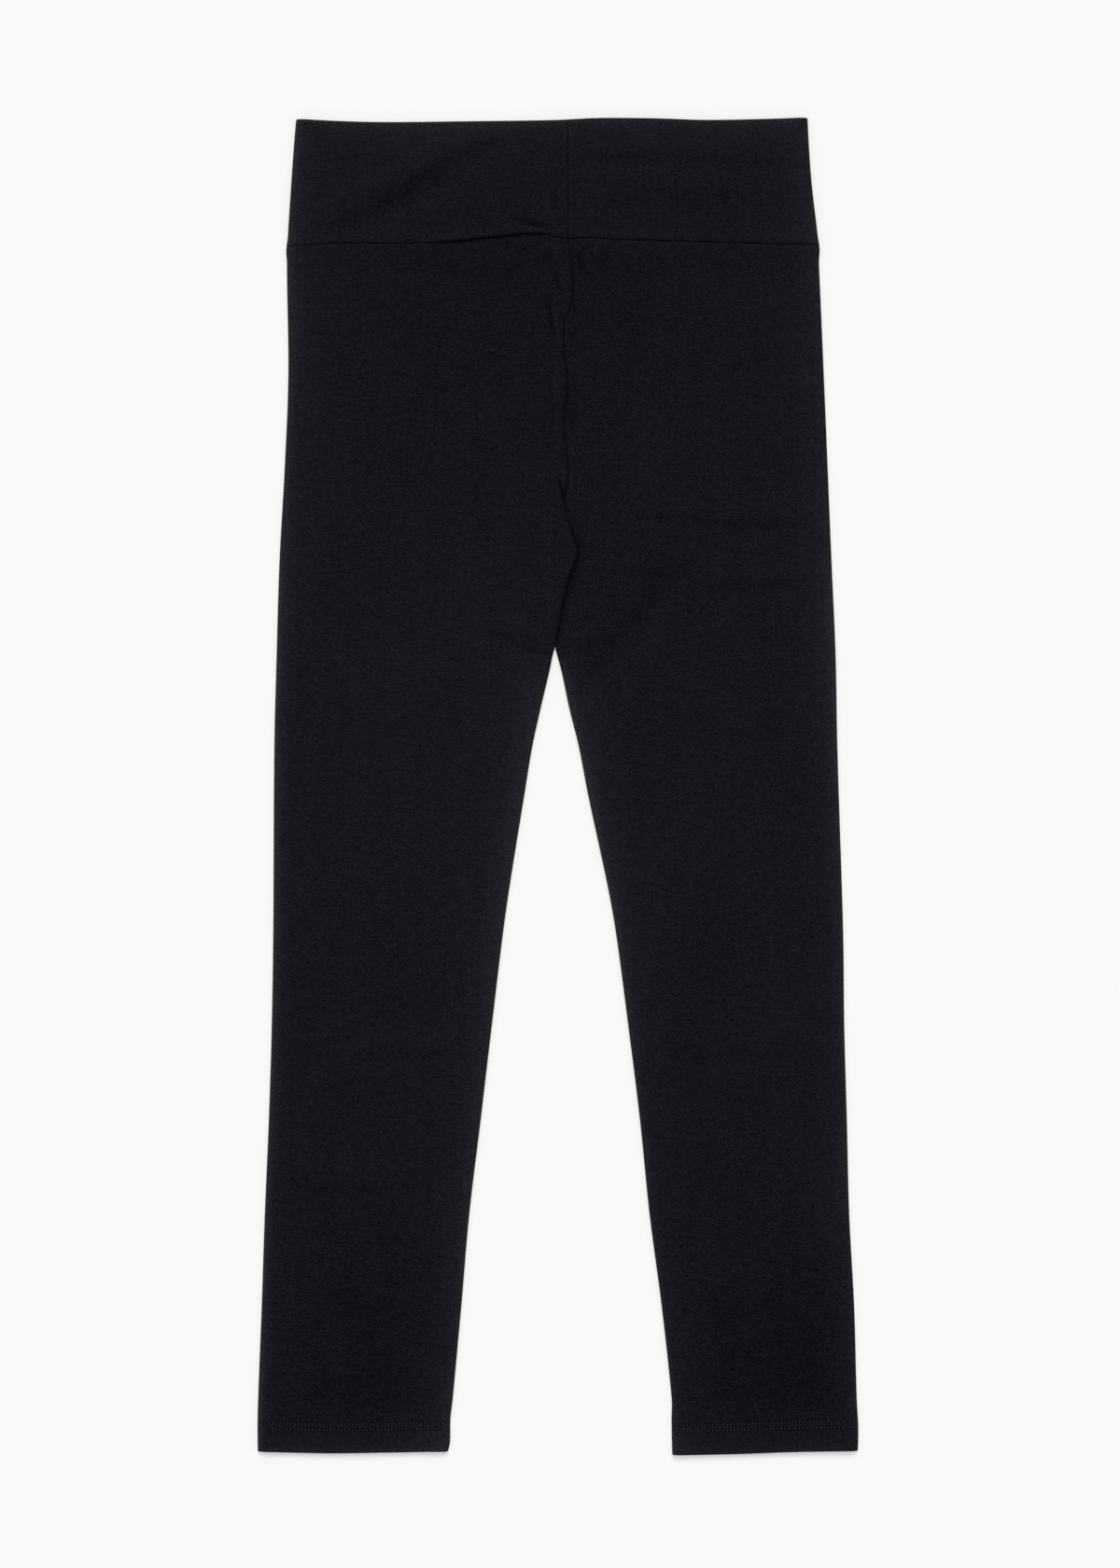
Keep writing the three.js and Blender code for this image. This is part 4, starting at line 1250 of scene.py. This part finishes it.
# %% Height of the waistband, and its two halves
BAND_CENTRE_ROLL = {"share": 0.4, "reach": 0.7}
BAND_SEAM_ROLL = {"share": 0.4, "lip_share": 1, "reach": 0.8}
TOP_ROLL_SHARE = 0.48
TOP_FOLD_NARROWS = 1.3  # wear and painted light along the top edge reach less far than along a side
BAND_SEAM_NARROWS = 1.5  # and the painted shade of the centre seam reaches less far than on the legs


def band_sizes(across, down):
    """Wall and heights of the waistband at every place of the grid."""
    x, front = across["x"], across["front"]
    from_seam = edge_at(WAIST_SEAM, x, front) - down
    relief = puff(FOLD_PUFF, across["from_outer"])
    relief += seam_relief(BAND_CENTRE_SEAM, across["from_inner"])
    relief += seam_relief(WAIST_SEAM_BAND, from_seam)
    relief += WAIST_LIP["raised"] * lip_share(x) * (1 - smooth(from_seam / WAIST_LIP["raised_reach"]))
    relief += CREASE_STRENGTH * crease_relief(BAND_CREASES, x, down)
    return {
        "wall": np.full_like(x, BAND_WALL),
        "top": np.maximum(2 * BAND_WALL + BAND_LAYER_GAP + relief, 2 * BAND_WALL + LEAST_LAYER_GAP),
        "tip": BAND_TIP,
        "closure": np.zeros_like(x),
        "inner_turn": FOLD_TURN,
        "from_seam": from_seam,
        "from_top": down - edge_at(WAIST_EDGE, x, front),
        "shade": crease_relief(BAND_CREASES, x, down, sharpness=1),
        "lifted": underside_creases(x, down),
    }


def build_band(side):
    """As for a leg, but the double cloth is also rounded along its fold at the top."""
    down, across = settle_rows(side, band_levels, band_row)
    sizes = band_sizes(across, down)
    outside, inside = wall_points(across, down, sizes)
    centre_roll = BAND_CENTRE_ROLL["share"] * turned_edge(across["from_inner"], BAND_CENTRE_ROLL["reach"])
    seam_share = mix(BAND_SEAM_ROLL["share"], BAND_SEAM_ROLL["lip_share"], lip_share(across["x"]))
    seam_roll = seam_share * turned_edge(sizes["from_seam"], BAND_SEAM_ROLL["reach"])
    top_roll = TOP_ROLL_SHARE * turned_edge(sizes["from_top"], BAND_WALL / 2)
    rolled = 1 - (1 - centre_roll) * (1 - seam_roll)
    outer_roll = np.maximum(ROLL_SHARES["outside"] * rolled, top_roll)
    inner_roll = np.maximum(ROLL_SHARES["inside"] * rolled, top_roll)
    outside, inside = roll_edges(outside, inside, outer_roll, inner_roll)
    from_fold = np.minimum(across["from_outer"], TOP_FOLD_NARROWS * sizes["from_top"])
    painted_light_and_wear = painted_light_and_wear_at(side, across["x"], down, from_fold, sizes["shade"])
    from_centre_seam = BAND_SEAM_NARROWS * across["from_inner"]
    painted_light_and_wear -= seam_shade(across["x"], down, sizes["from_seam"], from_centre_seam)
    rows = len(band_levels)
    return closed_piece(f"{side}_waistband_cloth", outside, inside, rows, painted_light_and_wear, waistband_jersey)


right_waistband_cloth = build_band("right")
left_waistband_cloth = build_band("left")

# %% [markdown]
# ## Hem stitching
# A twin needle sews two even rows of short stitches, 4 mm apart, through the turned-up hem. Each
# stitch is a small rounded piece of thread that lies in its groove, and the next begins after a
# short gap where the needle went down. A dashed line in the shader would be quicker but flat, so
# each stitch is a real one. The thread keeps its pale painted sheen only on the raised middle, and
# its ends are painted black as painted shade where they dive into the cloth.

# %% One stitch
STITCH_LENGTH = 2.55
STITCH_WIDTH = 1.3
STITCH_PROUD = 0.34
STITCH_SIDES = 8
# The last row of the rings is painted shade: the thread is painted black where it dives into the needle
# holes
STITCH_RINGS = {
    "along": [-0.48, -0.42, -0.21, -0.17, 0, 0.17, 0.21, 0.42, 0.48],
    "wide": [0.7, 1, 1, 0.9, 1, 0.9, 1, 1, 0.7],
    "tall": [0.3, 0.36, 0.4, 0.8, 1, 0.8, 0.4, 0.36, 0.3],
    "shade_and_dim": [1, 1, 1, 0.05, 0, 0.05, 1, 1, 1],
}


def stitch_points():
    """A bar of thread along X whose ends dive into the needle holes, in shares of its own size."""
    points = [(-0.5, 0, 0)]
    for along, wide, tall in zip(STITCH_RINGS["along"], STITCH_RINGS["wide"], STITCH_RINGS["tall"]):
        for side in range(STITCH_SIDES):
            turn = 2 * math.pi * side / STITCH_SIDES
            points.append((along, wide / 2 * math.cos(turn), tall * math.sin(turn)))
    return np.array(points + [(0.5, 0, 0)])


def stitch_faces():
    """Faces between the rings, and a fan at each end."""
    rings = len(STITCH_RINGS["along"])
    last = 1 + rings * STITCH_SIDES
    faces = []
    for side in range(STITCH_SIDES):
        after = (side + 1) % STITCH_SIDES
        faces.append((0, 1 + after, 1 + side))
        for ring in range(rings - 1):
            start = 1 + ring * STITCH_SIDES
            end = start + STITCH_SIDES
            faces.append((start + side, start + after, end + after, end + side))
        end = last - STITCH_SIDES
        faces.append((end + side, end + after, last))
    return faces


STITCH_POINTS = stitch_points()
STITCH_FACES = stitch_faces()
STITCH_HOLE_SHADE = np.concatenate([[1], np.repeat(STITCH_RINGS["shade_and_dim"], STITCH_SIDES), [1]])
print("one stitch:", STITCH_LENGTH, "mm long,", len(STITCH_FACES), "faces")

# %% Each stitch in its place on the hem
STITCH_LIFT = {"front": 0.06, "back": 0.02}
UNEVEN = {"along": 0.07, "aside": 0.06, "size": 0.05}  # no sewing machine sets two stitches alike
THREAD_DIMMEST = 0.25  # the darkest stitches are this much darker than the palest


def surface_level(side, x, down, front):
    """Height of the leg's outer face at one place of the hem."""
    inner = float(inner_edge(side, front, down))
    outer = float(outer_edge(side, down))
    across = {
        "x": np.array([x]),
        "sign": np.sign(outer - inner),
        "from_inner": np.array([abs(x - inner)]),
        "from_outer": np.array([abs(outer - x)]),
        "front": np.array([front]),
    }
    outside, _ = wall_points(across, np.array([down]), leg_sizes(side, across, np.array([down])))
    return float(outside[0, 2])


def sewn_stitch(side, front, reach, x, chance):
    """Points of one stitch in metres, and how dark its thread is painted at each of them: painted shade
    where it sinks, and a random dimming.
    """
    x = x + chance.normal(0, UNEVEN["along"])
    down = float(edge_at(HEM_EDGE, x, front)) - reach + chance.normal(0, UNEVEN["aside"])
    size = np.array([STITCH_LENGTH, STITCH_WIDTH, STITCH_PROUD]) * chance.normal(1, UNEVEN["size"])
    level = surface_level(side, x, down, front) + STITCH_LIFT["front" if front else "back"]
    points = (STITCH_POINTS * size + [x, GARMENT_LENGTH / 2 - down, level]) * MM
    return points, np.maximum(STITCH_HOLE_SHADE, THREAD_DIMMEST * chance.random())


print("a front stitch stands", STITCH_PROUD + STITCH_LIFT["front"], "mm above the cloth")

# %% Rows of stitches on both faces of a hem
STITCH_PITCH = 2.62
STITCH_MARGIN = 2.2  # left free beside the folds
SEEDS = {"right": 7, "left": 11}


def hem_stitches(side):
    """Both rows of a hem, on the front and on the back, as one piece."""
    chance = np.random.default_rng(SEEDS[side])
    points, shade_and_dim, faces = [], [], []
    for front in (True, False):
        for reach in STITCH_ROWS[side]:
            hem_down = HEM_LEVEL - reach
            ends = [float(inner_edge(side, front, hem_down)), float(outer_edge(side, hem_down))]
            low, high = min(ends) + STITCH_MARGIN, max(ends) - STITCH_MARGIN
            count = int((high - low) / STITCH_PITCH)
            for x in low + STITCH_PITCH * (np.arange(count) + 0.5):
                start = len(points) * len(STITCH_POINTS)
                stitch, stitch_shade_and_dim = sewn_stitch(side, front, reach, x, chance)
                points.append(stitch)
                shade_and_dim.append(stitch_shade_and_dim)
                faces += [tuple(start + corner for corner in face) for face in STITCH_FACES]
    name = f"{side}_hem_stitching"
    print(name, "stitches:", len(points))
    points, shade_and_dim = np.concatenate(points), np.concatenate(shade_and_dim)
    return smooth_piece(name, points.tolist(), faces, sewing_thread, "shade_and_dim", shade_and_dim)


right_hem_stitching = hem_stitches("right")
left_hem_stitching = hem_stitches("left")

# %% [markdown]
# ## Joining the looks to the frame
# Every visible piece stands for one imported solid, which is then hidden, and has its finish set
# where it is built. The garment has no joints, so all of it rides on the one body. For each piece of
# cloth the size it was cut to, measured all round, is printed beside the area of its mesh.

# %% Stand for the solids and ride
# Flat sizes in metres: width all round, and length
BAND_CUT = {"right": (0.404, 0.09), "left": (0.358, 0.09)}
FOLD_ALLOWANCE = 3  # cloth that the turn of one fold takes up, in mm
pieces = {
    "right": (right_leg_cloth, right_waistband_cloth, right_hem_stitching),
    "left": (left_leg_cloth, left_waistband_cloth, left_hem_stitching),
}


def panel_area(side):
    """Flat area of a leg's panel, from its widths on the front and the back, in square metres."""
    down = np.arange(SEAM_LEVEL, HEM_LEVEL, 1.0)
    width = np.zeros_like(down)
    for front in (True, False):
        width += np.abs(outer_edge(side, down) - inner_edge(side, np.full(down.shape, front), down))
    folds = np.where(down > CROTCH_DOWN, 2, 1)
    return float((width + FOLD_ALLOWANCE * folds).sum() * MM**2)


def outside_area(piece):
    """Half of a closed shell's surface: one face of its cloth, in square metres."""
    return sum(polygon.area for polygon in piece.data.polygons) / 2


for side, (leg, band, stitching) in pieces.items():
    for piece, slot in ((leg, "leg_jersey"), (band, "waistband_jersey"), (stitching, "sewing_thread")):
        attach(piece, "root")
        lit_cloth.objects.link(piece)
    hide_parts(f"{side}_leg")
    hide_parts(f"{side}_waistband")
    round(panel_area(side), 4)
    for piece, cut in ((leg, panel_area(side)), (band, math.prod(BAND_CUT[side]))):
        print(piece.name, "cut:", round(cut, 4), "m2, laid:", round(outside_area(piece), 4), "m2")
